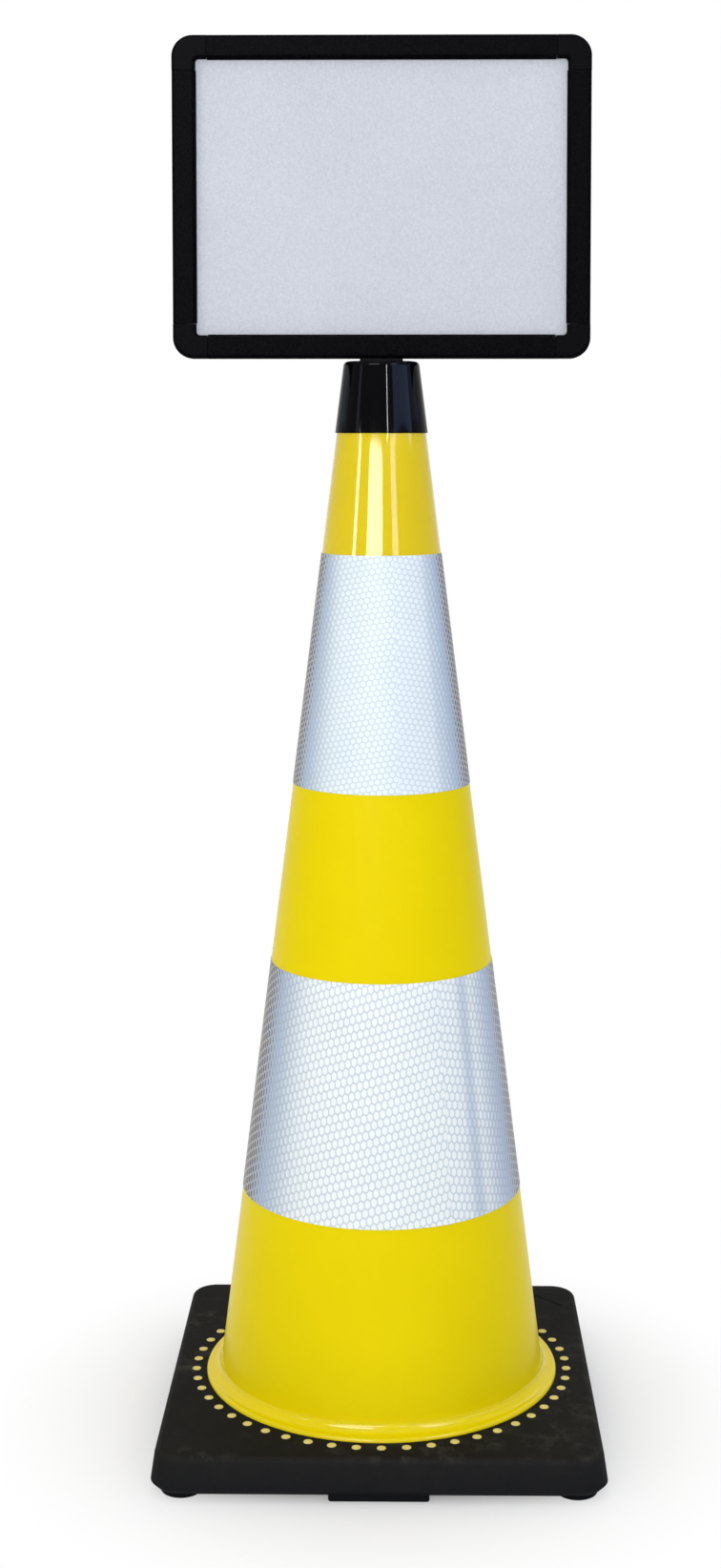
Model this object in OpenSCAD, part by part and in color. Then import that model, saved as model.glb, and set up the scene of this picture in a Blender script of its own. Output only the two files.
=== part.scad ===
// Traffic cone with a swivelling snap-frame sign on its tip.
// Millimetres. Z is up, the ground is z = 0, the cone's axis is x = y = 0 and the sign faces -Y.

/* [Base] */
// Width of the square base at its widest level
base_width = 364; // [344:1:390]
// Height of the base slab above its feet
base_thickness = 29; // [26:0.5:36]
// Plan radius of the four corners
base_corner_radius = 25; // [22:1:34]
// How far each side leans in towards the top
base_draft = 3; // [0.5:0.5:5]
// Rounding of the top edge
base_edge_round = 5; // [2:0.5:8]
// Chamfer under the sides
base_chamfer = 4; // [2:0.5:6]
// Height of the feet under the slab
foot_height = 6; // [4:0.5:9]
// Diameter of the round corner feet
foot_diameter = 34; // [24:1:38]
// Width of the pad in the middle of each side
side_pad_width = 80; // [50:1:110]
// Depth of that pad from the side inwards
side_pad_depth = 16; // [10:1:20]

/* [Cone] */
// Height of the cone's open tip above the ground
cone_tip_height = 895; // [860:1:930]
// Outer radius of the tip
cone_tip_radius = 30.8; // [27:0.2:34]
// Thickness of the wall
cone_wall = 3.2; // [2.4:0.1:4]
// Width of the ring that sits on the base, outside the wall
ring_width = 11.7; // [10:0.1:14]
// Height of that ring
ring_height = 3; // [2.5:0.5:5]
// Rounding of the ring's outer edge
ring_round = 2; // [1:0.5:2.5]
// Fillet between the ring and the wall
ring_fillet = 9; // [6:0.5:10]
// Height of the wall's lower rim above the base's underside
cone_recess = 2; // [1:0.5:4]
// Rubber between the buried flange and the base's side
flange_margin = 15; // [12:0.5:20]
// Thickness of the buried flange
flange_thickness = 5; // [4:0.5:6]
// Rubber between the flange and the base's top
flange_cover = 13; // [10:0.5:14]
// Number of pegs through the base's top
peg_count = 50; // [36:1:56]
// Diameter of a peg
peg_diameter = 7.5; // [5:0.5:8]
// Distance from the flange's edge to the circle of pegs
peg_inset = 7.5; // [6:0.5:10]
// Distance from the circle of pegs to the ring
peg_to_ring = 8.8; // [6:0.2:12]
// Turn of the circle of pegs from the front
peg_turn = 0.7; // [0:0.1:7.2]
// How far the pegs stand proud of the base
peg_proud = 0.6; // [0.3:0.1:1.2]
// Gap left between faces that are moulded or screwed together
bond_gap = 0.1; // [0.05:0.01:0.2]

/* [Reflective bands] */
// Height of the lower band's lower edge above the base
lower_band_rise = 162; // [120:1:190]
// Distance from the cap's mouth down to the upper band
upper_band_drop = 101; // [60:1:130]
// Distance between the two bands
band_spacing = 152; // [100:1:200]
// Thickness of the sheeting
band_thickness = 0.4; // [0.3:0.05:0.8]
// Thickness of its adhesive
band_adhesive = 0.2; // [0.1:0.05:0.3]

/* [Top cap] */
// Height of the cap's skirt, from its mouth to its top
cap_height = 60; // [45:1:75]
// Thickness of the skirt
cap_wall = 1.25; // [1.2:0.05:2.5]
// Thickness of the top, which rests on the cone's tip
cap_top_thickness = 5; // [4:0.5:8]
// Rounding of the top edge
cap_edge_round = 4; // [2:0.5:4.5]
// Gap between the skirt and the cone
cap_gap = 0.3; // [0.3:0.05:0.6]

/* [Swivel] */
// Diameter of the threaded stud
stud_diameter = 8; // [6:0.5:10]
// How far the stud hangs below the cap's top
stud_drop = 15; // [14:0.5:20]
// Radial gap of the stud in the cap
stud_running_gap = 0.08; // [0.04:0.01:0.1]
// Radial gap of the washers and the nut on the stud
stud_loose_gap = 0.2; // [0.1:0.05:0.4]
// Radius of the flat washer
washer_radius = 8.5; // [8:0.5:11]
// Thickness of the flat washer
washer_thickness = 1.6; // [1.2:0.1:2]
// Radius of the spring washer
spring_washer_radius = 7.4; // [7:0.1:8]
// Thickness of the spring washer
spring_washer_thickness = 2; // [1.6:0.1:2.4]
// Width of the spring washer's slit
washer_slit = 1.4; // [0.8:0.1:2]
// Width of the nut across its flats
nut_flats = 13; // [13:0.5:17]
// Height of the nut's hexagon
nut_hex_height = 6.5; // [5:0.5:7]
// Height of the nut's nylon collar
nut_collar_height = 1.5; // [1:0.5:2]
// How far the collar stands in from the flats
nut_collar_step = 1; // [0.5:0.1:1.5]

/* [Bracket] */
// Width of the bracket under the sign
bracket_width = 36; // [28:1:44]
// Thickness of the bracket
bracket_thickness = 2.4; // [2:0.1:3]
// Height of the bracket's leg behind the frame
bracket_leg = 22; // [18:1:28]
// How far the bracket's foot reaches in front of the axis
bracket_reach = 12; // [8:1:16]
// Distance between the two rivets
rivet_spacing = 22; // [16:1:24]
// Diameter of a rivet's shank
rivet_diameter = 3.2; // [2.4:0.1:4]
// Height of a rivet's head
rivet_head_height = 1.2; // [0.8:0.1:1.6]
// Slope of the head's side, measured along its radius
rivet_head_slope = 1; // [0.5:0.1:1.5]
// Length of the tail behind the rail's plate
rivet_tail_length = 2; // [1.2:0.1:2.6]

/* [Sign frame] */
// Outer width of the frame
frame_width = 351; // [300:1:420]
// Outer height of the frame
frame_height = 269; // [230:1:340]
// Depth of the frame from back to front
frame_depth = 12; // [12:0.5:16]
// Width of a rail seen from the front
rail_width = 20.5; // [19:0.5:24]
// Length of a corner piece along each side
corner_length = 29; // [26:0.5:36]
// Outer radius of a corner piece
corner_radius = 17.5; // [16.5:0.5:18]
// Depth of the sloped inner edge of the front
bevel_width = 3; // [2:0.25:3.5]
// How much less the corner pieces overhang the sign
corner_setback = 0.6; // [0.3:0.1:1]
// Gap between a flip-open rail and the corner pieces
rail_end_gap = 0.4; // [0.3:0.05:0.8]
// Thickness of the extruded back plate
plate_thickness = 1.4; // [1.2:0.1:1.8]
// Radius of the hinge hook, which is also the rail's outer rounding
hook_radius = 3.5; // [3.2:0.1:3.8]
// Radius of the hinge bead on the fixed rail
bead_radius = 1.6; // [1.4:0.1:1.8]
// Radial gap of the bead in the hook
bead_gap = 0.08; // [0.05:0.01:0.1]
// Thickness of the flip-open rail's face
face_thickness = 1.8; // [1.4:0.1:2.2]
// Thickness of the fixed rail's web and stop
web_thickness = 1; // [0.8:0.1:1.2]
// Thickness of the fixed rail's outer wall
outer_wall = 1.2; // [1:0.1:1.5]
// Distance from the hinge axis down to that wall
outer_wall_drop = 3.1; // [3:0.1:4]
// Angle from the rail's face direction down to the hook's inner end
hook_toe_angle = 60; // [55:1:65]
// Angle from the rail's face direction over the front to the hook's outer end
hook_heel_angle = 160; // [150:1:165]
// Thickness of the sloped lip, measured across the rail
lip_thickness = 1.4; // [1:0.1:1.8]
// Distance from the frame's edge to the sheets' edge
sheet_inset = 10.4; // [10.2:0.1:11]
// Length of a corner spigot in the rail's channel
spigot_length = 14; // [10:0.5:18]
// Depth of a corner spigot from back to front
spigot_depth = 2.8; // [2.4:0.1:3]
// Gap between a spigot and the channel
spigot_gap = 0.3; // [0.2:0.05:0.4]
// Diameter of the screws in the spigots
screw_diameter = 2.4; // [2:0.1:2.6]
// Height of a screw's head
screw_head_height = 1.2; // [0.8:0.1:1.6]
// Plastic left over the end of a screw's hole
screw_cover = 0.4; // [0.3:0.05:0.6]
// Length of a spring under a flip-open rail
spring_length = 40; // [25:1:50]
// Distance of each spring from the middle of its rail
spring_offset = 55; // [45:1:65]
// Thickness of the spring's leaf
spring_thickness = 0.45; // [0.3:0.05:0.5]
// Gap between a spring and what it lies beside
spring_gap = 0.4; // [0.3:0.05:0.5]

/* [Sign sheets] */
// Thickness of the rigid back panel
panel_thickness = 3; // [2.5:0.1:3.2]
// Thickness of the sign sheet
sheet_thickness = 0.6; // [0.3:0.1:0.8]
// Thickness of the clear cover
cover_thickness = 1; // [0.6:0.1:1.2]
// Gap round the edge of the sheets
sheet_gap = 0.2; // [0.1:0.05:0.4]
// Gap between the rails' lip and the clear cover
lip_gap = 0.3; // [0.3:0.05:0.6]

/* [Hidden] */
$fn = 96;
// How far joined shapes run into each other, and cuts run past a face
over = 1;
base_top = foot_height + base_thickness;
corner_centre = base_width / 2 - base_corner_radius;
flange_radius = base_width / 2 - flange_margin;
peg_circle_radius = flange_radius - peg_inset;
ring_radius = peg_circle_radius - peg_to_ring;
cone_foot_radius = ring_radius - ring_width;
cone_slope = (cone_foot_radius - cone_tip_radius) / (cone_tip_height - base_top);
flange_top = base_top - flange_cover;
flange_bottom = flange_top - flange_thickness;
cone_bottom = foot_height + cone_recess;
cap_top = cone_tip_height + cap_top_thickness;
cap_mouth = cap_top - cap_height;
lower_band_start = base_top + lower_band_rise;
band_height = (cap_mouth - upper_band_drop - lower_band_start - band_spacing) / 2;
upper_band_start = lower_band_start + band_height + band_spacing;
stud_radius = stud_diameter / 2;
frame_bottom = cap_top + bracket_thickness;
frame_mid = frame_bottom + frame_height / 2;
frame_back = frame_depth / 2;
hinge_u = hook_radius;
hinge_v = frame_depth - hook_radius;
front_edge = rail_width - bevel_width;
lip_v = plate_thickness + panel_thickness + sheet_thickness + cover_thickness + lip_gap;
stop_u = sheet_inset - sheet_gap - web_thickness;
web_u = hinge_u - web_thickness / 2;
channel_start = web_u + web_thickness;
channel_mid = (channel_start + stop_u) / 2;
channel_width = stop_u - channel_start;
outer_wall_top = hinge_v - outer_wall_drop;
spigot_width = channel_width - 2 * spigot_gap;
spigot_v = plate_thickness + bond_gap;
screw_at = corner_length + spigot_length / 2;
sheet_corner = corner_radius - sheet_inset;
rivet_z = frame_bottom + channel_mid;
back_rail_top = frame_width - 2 * corner_length;
back_rail_side = frame_height - 2 * corner_length;

// Sub-part to draw

// Outer radius of the cone's wall at height z
function cone_r(z) = cone_foot_radius - (z - base_top) * cone_slope;

// Points of an arc from angle a0 to a1 about (x, y)
function arc(x, y, r, a0, a1, n = 8) =
    [for (i = [0 : n]) [x + r * cos(a0 + (a1 - a0) * i / n), y + r * sin(a0 + (a1 - a0) * i / n)]];

// Half section of the slab's edge, measured outwards from a corner's centre
module slab_section() {
    lean = atan(base_draft / (base_thickness - base_chamfer));
    top_r = base_corner_radius - base_draft;
    polygon(concat(
        [[0, foot_height],
         [base_corner_radius - base_chamfer, foot_height],
         [base_corner_radius, foot_height + base_chamfer]],
        arc(top_r - base_edge_round, base_top - base_edge_round, base_edge_round, lean, 90),
        [[0, base_top]]));
}

// Slab with rounded corners: the edge section swept along four sides and round four corners
module slab() {
    translate([-corner_centre, -corner_centre, foot_height])
        cube([2 * corner_centre, 2 * corner_centre, base_thickness]);
    for (k = [0 : 3]) rotate([0, 0, 90 * k]) {
        translate([corner_centre, corner_centre, 0])
            rotate_extrude(angle = 90) slab_section();
        translate([corner_centre, 0, 0]) rotate([90, 0, 0])
            linear_extrude(height = 2 * corner_centre, center = true) slab_section();
    }
}

module feet() {
    pad_x = base_width / 2 - base_chamfer;
    for (k = [0 : 3]) rotate([0, 0, 90 * k]) {
        translate([corner_centre, corner_centre, 0])
            cylinder(d = foot_diameter, h = foot_height + over);
        translate([pad_x - side_pad_depth, -side_pad_width / 2, 0])
            cube([side_pad_depth, side_pad_width, foot_height + over]);
    }
}

// Room in the rubber for the cone's foot: the bore and the buried flange
module cone_pocket() {
    rotate_extrude() polygon([
        [0, foot_height - over],
        [cone_r(foot_height - over) + bond_gap, foot_height - over],
        [cone_r(flange_bottom - bond_gap) + bond_gap, flange_bottom - bond_gap],
        [flange_radius + bond_gap, flange_bottom - bond_gap],
        [flange_radius + bond_gap, flange_top + bond_gap],
        [cone_r(flange_top + bond_gap) + bond_gap, flange_top + bond_gap],
        [cone_r(base_top + over) + bond_gap, base_top + over],
        [0, base_top + over]]);
}

module pegs(radius, from, to) {
    for (i = [0 : peg_count - 1]) rotate([0, 0, peg_turn + 360 * i / peg_count])
        translate([0, -peg_circle_radius, from]) cylinder(r = radius, h = to - from);
}

module base() {
    color([0.13, 0.13, 0.13]) difference() {
        union() {
            slab();
            feet();
        }
        cone_pocket();
        pegs(peg_diameter / 2 + bond_gap, flange_top, base_top + over);
    }
}

// Wall, ring on the base, and the flange and pegs that the rubber is moulded round
module cone_body() {
    ring_top = base_top + ring_height;
    fillet_z = ring_top + ring_fillet;
    fillet_r = cone_r(fillet_z) + ring_fillet;
    color([0.93, 0.8, 0.1]) union() {
        rotate_extrude() polygon(concat(
            [[cone_r(cone_bottom) - cone_wall, cone_bottom],
             [cone_r(cone_bottom), cone_bottom],
             [cone_r(flange_bottom), flange_bottom],
             [flange_radius, flange_bottom],
             [flange_radius, flange_top],
             [cone_r(flange_top), flange_top],
             [cone_r(base_top), base_top],
             [ring_radius, base_top]],
            arc(ring_radius - ring_round, ring_top - ring_round, ring_round, 0, 90, 6),
            arc(fillet_r, fillet_z, ring_fillet, 270, 180 + atan(cone_slope), 8),
            [[cone_tip_radius, cone_tip_height],
             [cone_tip_radius - cone_wall, cone_tip_height]]));
        pegs(peg_diameter / 2, flange_top - over, base_top + peg_proud);
    }
}

// Sleeve of sheeting round the cone from height z0
module band(z0) {
    z1 = z0 + band_height;
    color([0.93, 0.94, 0.95]) rotate_extrude() polygon([
        [cone_r(z0) + band_adhesive, z0],
        [cone_r(z0) + band_adhesive + band_thickness, z0],
        [cone_r(z1) + band_adhesive + band_thickness, z1],
        [cone_r(z1) + band_adhesive, z1]]);
}

module upper_band() {
    band(upper_band_start);
}

module lower_band() {
    band(lower_band_start);
}

module top_cap() {
    out_mouth = cone_r(cap_mouth) + cap_gap + cap_wall;
    out_top = cone_r(cap_top) + cap_gap + cap_wall;
    round_x = out_top + cap_edge_round * cone_slope - cap_edge_round;
    color([0.06, 0.06, 0.07]) rotate_extrude() polygon(concat(
        [[stud_radius + stud_running_gap, cone_tip_height],
         [cone_r(cone_tip_height) + cap_gap, cone_tip_height],
         [cone_r(cap_mouth) + cap_gap, cap_mouth],
         [out_mouth, cap_mouth]],
        arc(round_x, cap_top - cap_edge_round, cap_edge_round, atan(cone_slope), 90),
        [[stud_radius + stud_running_gap, cap_top]]));
}

// Flat ring about the axis, hanging down from height top
module ring(inner, outer, top, h) {
    translate([0, 0, top - h]) difference() {
        cylinder(r = outer, h = h);
        translate([0, 0, -over]) cylinder(r = inner, h = h + 2 * over);
    }
}

module pivot_stud() {
    color([0.7, 0.7, 0.72])
        translate([0, 0, cap_top - cap_top_thickness - stud_drop])
            cylinder(r = stud_radius, h = frame_bottom - cone_tip_height + stud_drop);
}

module flat_washer() {
    color([0.75, 0.75, 0.77])
        ring(stud_radius + stud_loose_gap, washer_radius, cone_tip_height, washer_thickness);
}

module spring_washer() {
    top = cone_tip_height - washer_thickness;
    color([0.6, 0.6, 0.62]) difference() {
        ring(stud_radius + stud_loose_gap, spring_washer_radius, top, spring_washer_thickness);
        translate([0, -washer_slit / 2, top - spring_washer_thickness - over])
            cube([spring_washer_radius + over, washer_slit, spring_washer_thickness + 2 * over]);
    }
}

module lock_nut() {
    top = cone_tip_height - washer_thickness - spring_washer_thickness;
    color([0.72, 0.72, 0.74]) difference() {
        union() {
            translate([0, 0, top - nut_hex_height]) linear_extrude(height = nut_hex_height)
                circle(r = nut_flats / sqrt(3), $fn = 6);
            translate([0, 0, top - nut_hex_height - nut_collar_height])
                cylinder(r = nut_flats / 2 - nut_collar_step, h = nut_collar_height + over);
        }
        translate([0, 0, top - nut_hex_height - nut_collar_height - over])
            cylinder(r = stud_radius + bond_gap, h = nut_hex_height + nut_collar_height + 2 * over);
    }
}

// Steel angle: a foot between the cap and the frame, and a leg riveted to the frame's back
module bracket() {
    color([0.1, 0.1, 0.11]) difference() {
        union() {
            translate([-bracket_width / 2, -bracket_reach, cap_top])
                cube([bracket_width, bracket_reach + frame_back + bracket_thickness, bracket_thickness]);
            translate([-bracket_width / 2, frame_back, cap_top])
                cube([bracket_width, bracket_thickness, bracket_leg + bracket_thickness]);
        }
        translate([0, 0, cap_top - over])
            cylinder(r = stud_radius + bond_gap, h = bracket_thickness + 2 * over);
        rivet_holes();
    }
}

module rivet_holes() {
    through = bracket_thickness + plate_thickness + 2 * over;
    for (s = [-1, 1]) translate([s * rivet_spacing / 2, frame_back + bracket_thickness + over, rivet_z])
        rotate([90, 0, 0])
            cylinder(d = rivet_diameter + 2 * bond_gap, h = through);
}

module bracket_rivets() {
    head = rivet_diameter;
    tail = channel_width / 2 - spigot_gap;
    grip = bracket_thickness + plate_thickness;
    color([0.7, 0.7, 0.72])
        for (s = [-1, 1]) translate([s * rivet_spacing / 2, frame_back - plate_thickness, rivet_z])
            rotate([-90, 0, 0]) {
                translate([0, 0, -rivet_tail_length]) cylinder(r = tail, h = rivet_tail_length);
                translate([0, 0, -rivet_tail_length])
                    cylinder(d = rivet_diameter, h = rivet_tail_length + grip + rivet_head_height / 2);
                translate([0, 0, grip])
                    cylinder(r1 = head, r2 = head - rivet_head_slope, h = rivet_head_height);
            }
}

// Puts a rail section (u from the outer edge inwards, v from back to front) on one side of the frame
module on_side(turn, half, length) {
    translate([0, frame_back, frame_mid]) rotate([0, turn, 0]) translate([0, 0, -half])
        rotate([180, -90, 0]) linear_extrude(height = length, center = true) children();
}

module back_rail_section() {
    square([rail_width - corner_setback, plate_thickness]);
    square([outer_wall, outer_wall_top]);
    translate([web_u, 0]) square([web_thickness, hinge_v]);
    translate([hinge_u, hinge_v]) circle(r = bead_radius);
    translate([stop_u, 0]) square([web_thickness, plate_thickness + panel_thickness - sheet_gap]);
}

// Hook round the bead, face and sloped lip of a flip-open rail
module snap_rail_section() {
    mouth = arc(0, 0, 3 * hook_radius, hook_heel_angle, 360 - hook_toe_angle, 3);
    translate([hinge_u, hinge_v]) difference() {
        circle(r = hook_radius);
        circle(r = bead_radius + bead_gap);
        polygon(concat([[0, 0]], mouth));
    }
    translate([hinge_u, frame_depth - face_thickness])
        square([front_edge - hinge_u, face_thickness]);
    polygon([[front_edge - lip_thickness, frame_depth],
        [front_edge - lip_thickness, frame_depth - face_thickness],
        [rail_width - lip_thickness, lip_v], [rail_width, lip_v], [front_edge, frame_depth]]);
}

module back_rail(turn, half, length) {
    color([0.09, 0.09, 0.1]) difference() {
        on_side(turn, half, length) back_rail_section();
        rivet_holes();
        for (s = [-1, 1]) screw_holes(turn, half, s * (length / 2 - spigot_length / 2));
    }
}

// Clearance for one screw through a rail's back plate
module screw_holes(turn, half, along) {
    translate([0, frame_back, frame_mid]) rotate([0, turn, 0])
        translate([along, over, channel_mid - half]) rotate([90, 0, 0])
            cylinder(d = screw_diameter + 2 * bond_gap, h = plate_thickness + 2 * over);
}

module snap_rail(turn, half, length) {
    color([0.07, 0.07, 0.08]) on_side(turn, half, length - 2 * rail_end_gap) snap_rail_section();
}

module top_back_rail() {
    back_rail(180, frame_height / 2, back_rail_top);
}

module bottom_back_rail() {
    back_rail(0, frame_height / 2, back_rail_top);
}

module left_back_rail() {
    back_rail(90, frame_width / 2, back_rail_side);
}

module right_back_rail() {
    back_rail(-90, frame_width / 2, back_rail_side);
}

module top_snap_rail() {
    snap_rail(180, frame_height / 2, back_rail_top);
}

module bottom_snap_rail() {
    snap_rail(0, frame_height / 2, back_rail_top);
}

module left_snap_rail() {
    snap_rail(90, frame_width / 2, back_rail_side);
}

module right_snap_rail() {
    snap_rail(-90, frame_width / 2, back_rail_side);
}

// Section of a corner piece, up to u = reach
module corner_section(reach, bevel) {
    difference() {
        union() {
            square([min(reach, rail_width - corner_setback), hinge_v]);
            translate([hinge_u, 0]) square([min(reach, front_edge) - hinge_u, frame_depth]);
            translate([hinge_u, hinge_v]) circle(r = hook_radius);
            if (bevel) polygon([[front_edge - over, hinge_v - over],
                [rail_width - corner_setback, hinge_v - over],
                [front_edge, frame_depth], [front_edge - over, frame_depth]]);
        }
        translate([sheet_inset - sheet_gap, plate_thickness])
            square([rail_width, lip_v - plate_thickness]);
        if (bevel) polygon([[front_edge, frame_depth], [rail_width - corner_setback, lip_v],
            [rail_width + over, lip_v], [rail_width + over, frame_depth + over],
            [front_edge, frame_depth + over]]);
    }
}

// One corner piece at the origin: x and y run along its two sides, z to the front
module corner_block() {
    difference() {
        union() {
            translate([corner_radius, corner_radius, 0]) rotate([0, 0, 180])
                rotate_extrude(angle = 90) translate([corner_radius, 0]) mirror([1, 0])
                    corner_section(corner_radius, false);
            translate([corner_radius, 0, 0]) rotate([90, 0, 90])
                linear_extrude(height = corner_length - corner_radius)
                    corner_section(rail_width, true);
            translate([0, corner_length, 0]) rotate([90, 0, 0])
                linear_extrude(height = corner_length - corner_radius)
                    corner_section(rail_width, true);
            spigot();
            mirror([1, -1, 0]) spigot();
        }
        spigot_hole();
        mirror([1, -1, 0]) spigot_hole();
    }
}

module spigot() {
    translate([corner_length - over, channel_mid - spigot_width / 2, spigot_v])
        cube([spigot_length + over, spigot_width, spigot_depth]);
}

module spigot_hole() {
    translate([screw_at, channel_mid, 0])
        cylinder(d = screw_diameter + 2 * bond_gap, h = spigot_v + spigot_depth - screw_cover);
}

module corner(right, top) {
    color([0.08, 0.08, 0.09]) translate([0, frame_back, frame_mid])
        mirror([right, 0, 0]) mirror([0, 0, top])
            translate([-frame_width / 2, 0, -frame_height / 2]) rotate([90, 0, 0]) corner_block();
}

module corner_top_left() {
    corner(0, 1);
}

module corner_top_right() {
    corner(1, 1);
}

module corner_bottom_left() {
    corner(0, 0);
}

module corner_bottom_right() {
    corner(1, 0);
}

// One screw from the back into a spigot
module corner_screw() {
    translate([0, 0, -screw_head_height]) cylinder(r = screw_diameter, h = screw_head_height);
    cylinder(d = screw_diameter, h = spigot_v + spigot_depth - 2 * screw_cover);
}

module corner_screws() {
    color([0.7, 0.7, 0.72]) for (right = [0, 1], top = [0, 1])
        translate([0, frame_back, frame_mid]) mirror([right, 0, 0]) mirror([0, 0, top])
            translate([-frame_width / 2, 0, -frame_height / 2]) rotate([90, 0, 0]) {
                translate([screw_at, channel_mid, 0]) corner_screw();
                translate([channel_mid, screw_at, 0]) corner_screw();
            }
}

// Bent leaf between the back plate and the toe of the hook
module spring_section() {
    toe_u = hinge_u + (hook_radius + spring_gap) * cos(hook_toe_angle);
    toe_v = hinge_v - (hook_radius + spring_gap) * sin(hook_toe_angle);
    heel_u = channel_start + spring_gap;
    foot_u = stop_u - spring_gap;
    leaf_v = plate_thickness + spring_thickness;
    polygon([[heel_u, plate_thickness], [foot_u, plate_thickness],
        [foot_u, leaf_v], [toe_u + spring_thickness, toe_v], [toe_u, toe_v],
        [foot_u - spring_thickness, leaf_v], [heel_u, leaf_v]]);
}

module rail_springs() {
    sides = [[0, frame_height / 2], [180, frame_height / 2],
        [90, frame_width / 2], [-90, frame_width / 2]];
    color([0.65, 0.65, 0.68]) for (s = sides, end = [-1, 1])
        translate([0, frame_back, frame_mid]) rotate([0, s[0], 0])
            translate([end * spring_offset, 0, -s[1]]) rotate([180, -90, 0])
                linear_extrude(height = spring_length, center = true) spring_section();
}

// Rounded sheet in the frame, from depth v to v + t
module sheet(v, t) {
    w = frame_width / 2 - sheet_inset - sheet_corner;
    h = frame_height / 2 - sheet_inset - sheet_corner;
    translate([0, frame_back - v, frame_mid]) rotate([90, 0, 0]) linear_extrude(height = t) {
        square([2 * w, 2 * (h + sheet_corner)], center = true);
        square([2 * (w + sheet_corner), 2 * h], center = true);
        for (x = [-w, w], y = [-h, h]) translate([x, y]) circle(r = sheet_corner);
    }
}

module back_panel() {
    color([0.85, 0.86, 0.88]) sheet(plate_thickness, panel_thickness);
}

module sign_sheet() {
    color([0.82, 0.84, 0.88]) sheet(plate_thickness + panel_thickness, sheet_thickness);
}

module clear_cover() {
    color([0.9, 0.93, 0.96]) sheet(plate_thickness + panel_thickness + sheet_thickness, cover_thickness);
}

base();
cone_body();
upper_band();
lower_band();
top_cap();
pivot_stud();
flat_washer();
spring_washer();
lock_nut();
bracket();
bracket_rivets();
top_back_rail();
bottom_back_rail();
left_back_rail();
right_back_rail();
corner_top_left();
corner_top_right();
corner_bottom_left();
corner_bottom_right();
corner_screws();
rail_springs();
back_panel();
sign_sheet();
clear_cover();
top_snap_rail();
bottom_snap_rail();
left_snap_rail();
right_snap_rail();
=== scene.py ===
# %% [markdown]
# # A cone sign, dressed for its portrait
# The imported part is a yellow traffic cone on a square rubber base, with two honeycomb reflective
# bands and a swivelling sign frame on its tip. The solids already have the right sizes and joints.
# This lesson gives each of them the surface that the eye expects. Everything is in metres and in the
# part's own frame: Z is up, the ground is z = 0, the cone's axis is x = y = 0 and the sign faces -Y.

import bpy
import numpy as np
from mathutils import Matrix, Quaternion, Vector


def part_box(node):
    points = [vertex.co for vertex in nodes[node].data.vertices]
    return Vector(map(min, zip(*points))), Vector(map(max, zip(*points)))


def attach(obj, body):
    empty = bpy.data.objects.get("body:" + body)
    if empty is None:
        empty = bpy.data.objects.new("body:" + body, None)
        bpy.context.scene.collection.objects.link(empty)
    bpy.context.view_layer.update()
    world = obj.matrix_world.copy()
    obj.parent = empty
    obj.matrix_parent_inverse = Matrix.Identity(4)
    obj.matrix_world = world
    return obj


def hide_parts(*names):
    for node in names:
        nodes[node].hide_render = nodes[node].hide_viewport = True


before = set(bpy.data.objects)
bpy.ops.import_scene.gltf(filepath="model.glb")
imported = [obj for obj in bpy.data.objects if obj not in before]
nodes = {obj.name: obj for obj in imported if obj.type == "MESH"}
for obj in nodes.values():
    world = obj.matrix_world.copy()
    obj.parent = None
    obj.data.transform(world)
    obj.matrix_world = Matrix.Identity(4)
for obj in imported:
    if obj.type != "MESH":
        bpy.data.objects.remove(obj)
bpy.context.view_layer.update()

# %% [markdown]
# ## Camera
# The photo is taken from straight ahead, level with the cap's mouth and about two steps away.
# A camera that only looked level would lose the base, so the picture is shifted
# down instead of tilting the camera far, which keeps the upright edges of the sign upright.

# %% Camera
photo_width, photo_height = 756, 1644
focal_pixels = 2300
axis_pixel_x = 400
horizon_pixel_y = 454
eye_distance, eye_height = 1.855, 0.840
eye_turn, eye_pitch = np.radians(0.7), np.radians(3.6)

lens = bpy.data.cameras.new("camera")
lens.sensor_width = 36
lens.lens = lens.sensor_width * focal_pixels / photo_height
principal_y = horizon_pixel_y + focal_pixels * np.tan(eye_pitch)
lens.shift_x = (photo_width / 2 - axis_pixel_x) / photo_height
lens.shift_y = float(principal_y - photo_height / 2) / photo_height
camera = bpy.data.objects.new("camera", lens)
camera.location = (eye_distance * np.sin(eye_turn), -eye_distance * np.cos(eye_turn), eye_height)
camera.rotation_euler = (np.pi / 2 - eye_pitch, 0, eye_turn)
bpy.context.scene.collection.objects.link(camera)
bpy.context.scene.camera = camera
print("camera: lens", round(lens.lens, 2), "mm, shift", round(lens.shift_x, 4), round(lens.shift_y, 4))

# %% [markdown]
# ## Helpers for finishes
# A finish is a small tree of shader nodes. Writing each node by hand takes three or four lines, so
# one function adds a node with its settings and its links at once. Colours are written as sRGB hex,
# the way a paint chart gives them, and turned to the linear values that shaders work in.


# %% Nodes and colours
def linear(hex_colour):
    """sRGB hex to linear RGBA: c / 12.92 below 0.04045, and ((c + 0.055) / 1.055) ** 2.4 above it."""
    c = np.array([int(hex_colour[i:i + 2], 16) for i in (0, 2, 4)]) / 255
    return (*np.where(c <= 0.04045, c / 12.92, ((c + 0.055) / 1.055) ** 2.4).tolist(), 1.0)


def wire(tree, node, inputs):
    """Sets the inputs that a node has in use, by name or by number. A hex colour is made linear, another
    value is set as it is, and an output, or the first output that a node has in use, is linked."""
    sockets = [socket for socket in node.inputs if socket.enabled]
    numbers = {socket.name: number for number, socket in enumerate(sockets)}
    for key, value in inputs.items():
        socket = sockets[numbers.get(key, key)]
        if isinstance(value, bpy.types.Node):
            value = next(output for output in value.outputs if output.enabled)
        if isinstance(value, bpy.types.NodeSocket):
            tree.links.new(value, socket)
        else:
            socket.default_value = linear(value) if isinstance(value, str) else value
    return node


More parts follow.
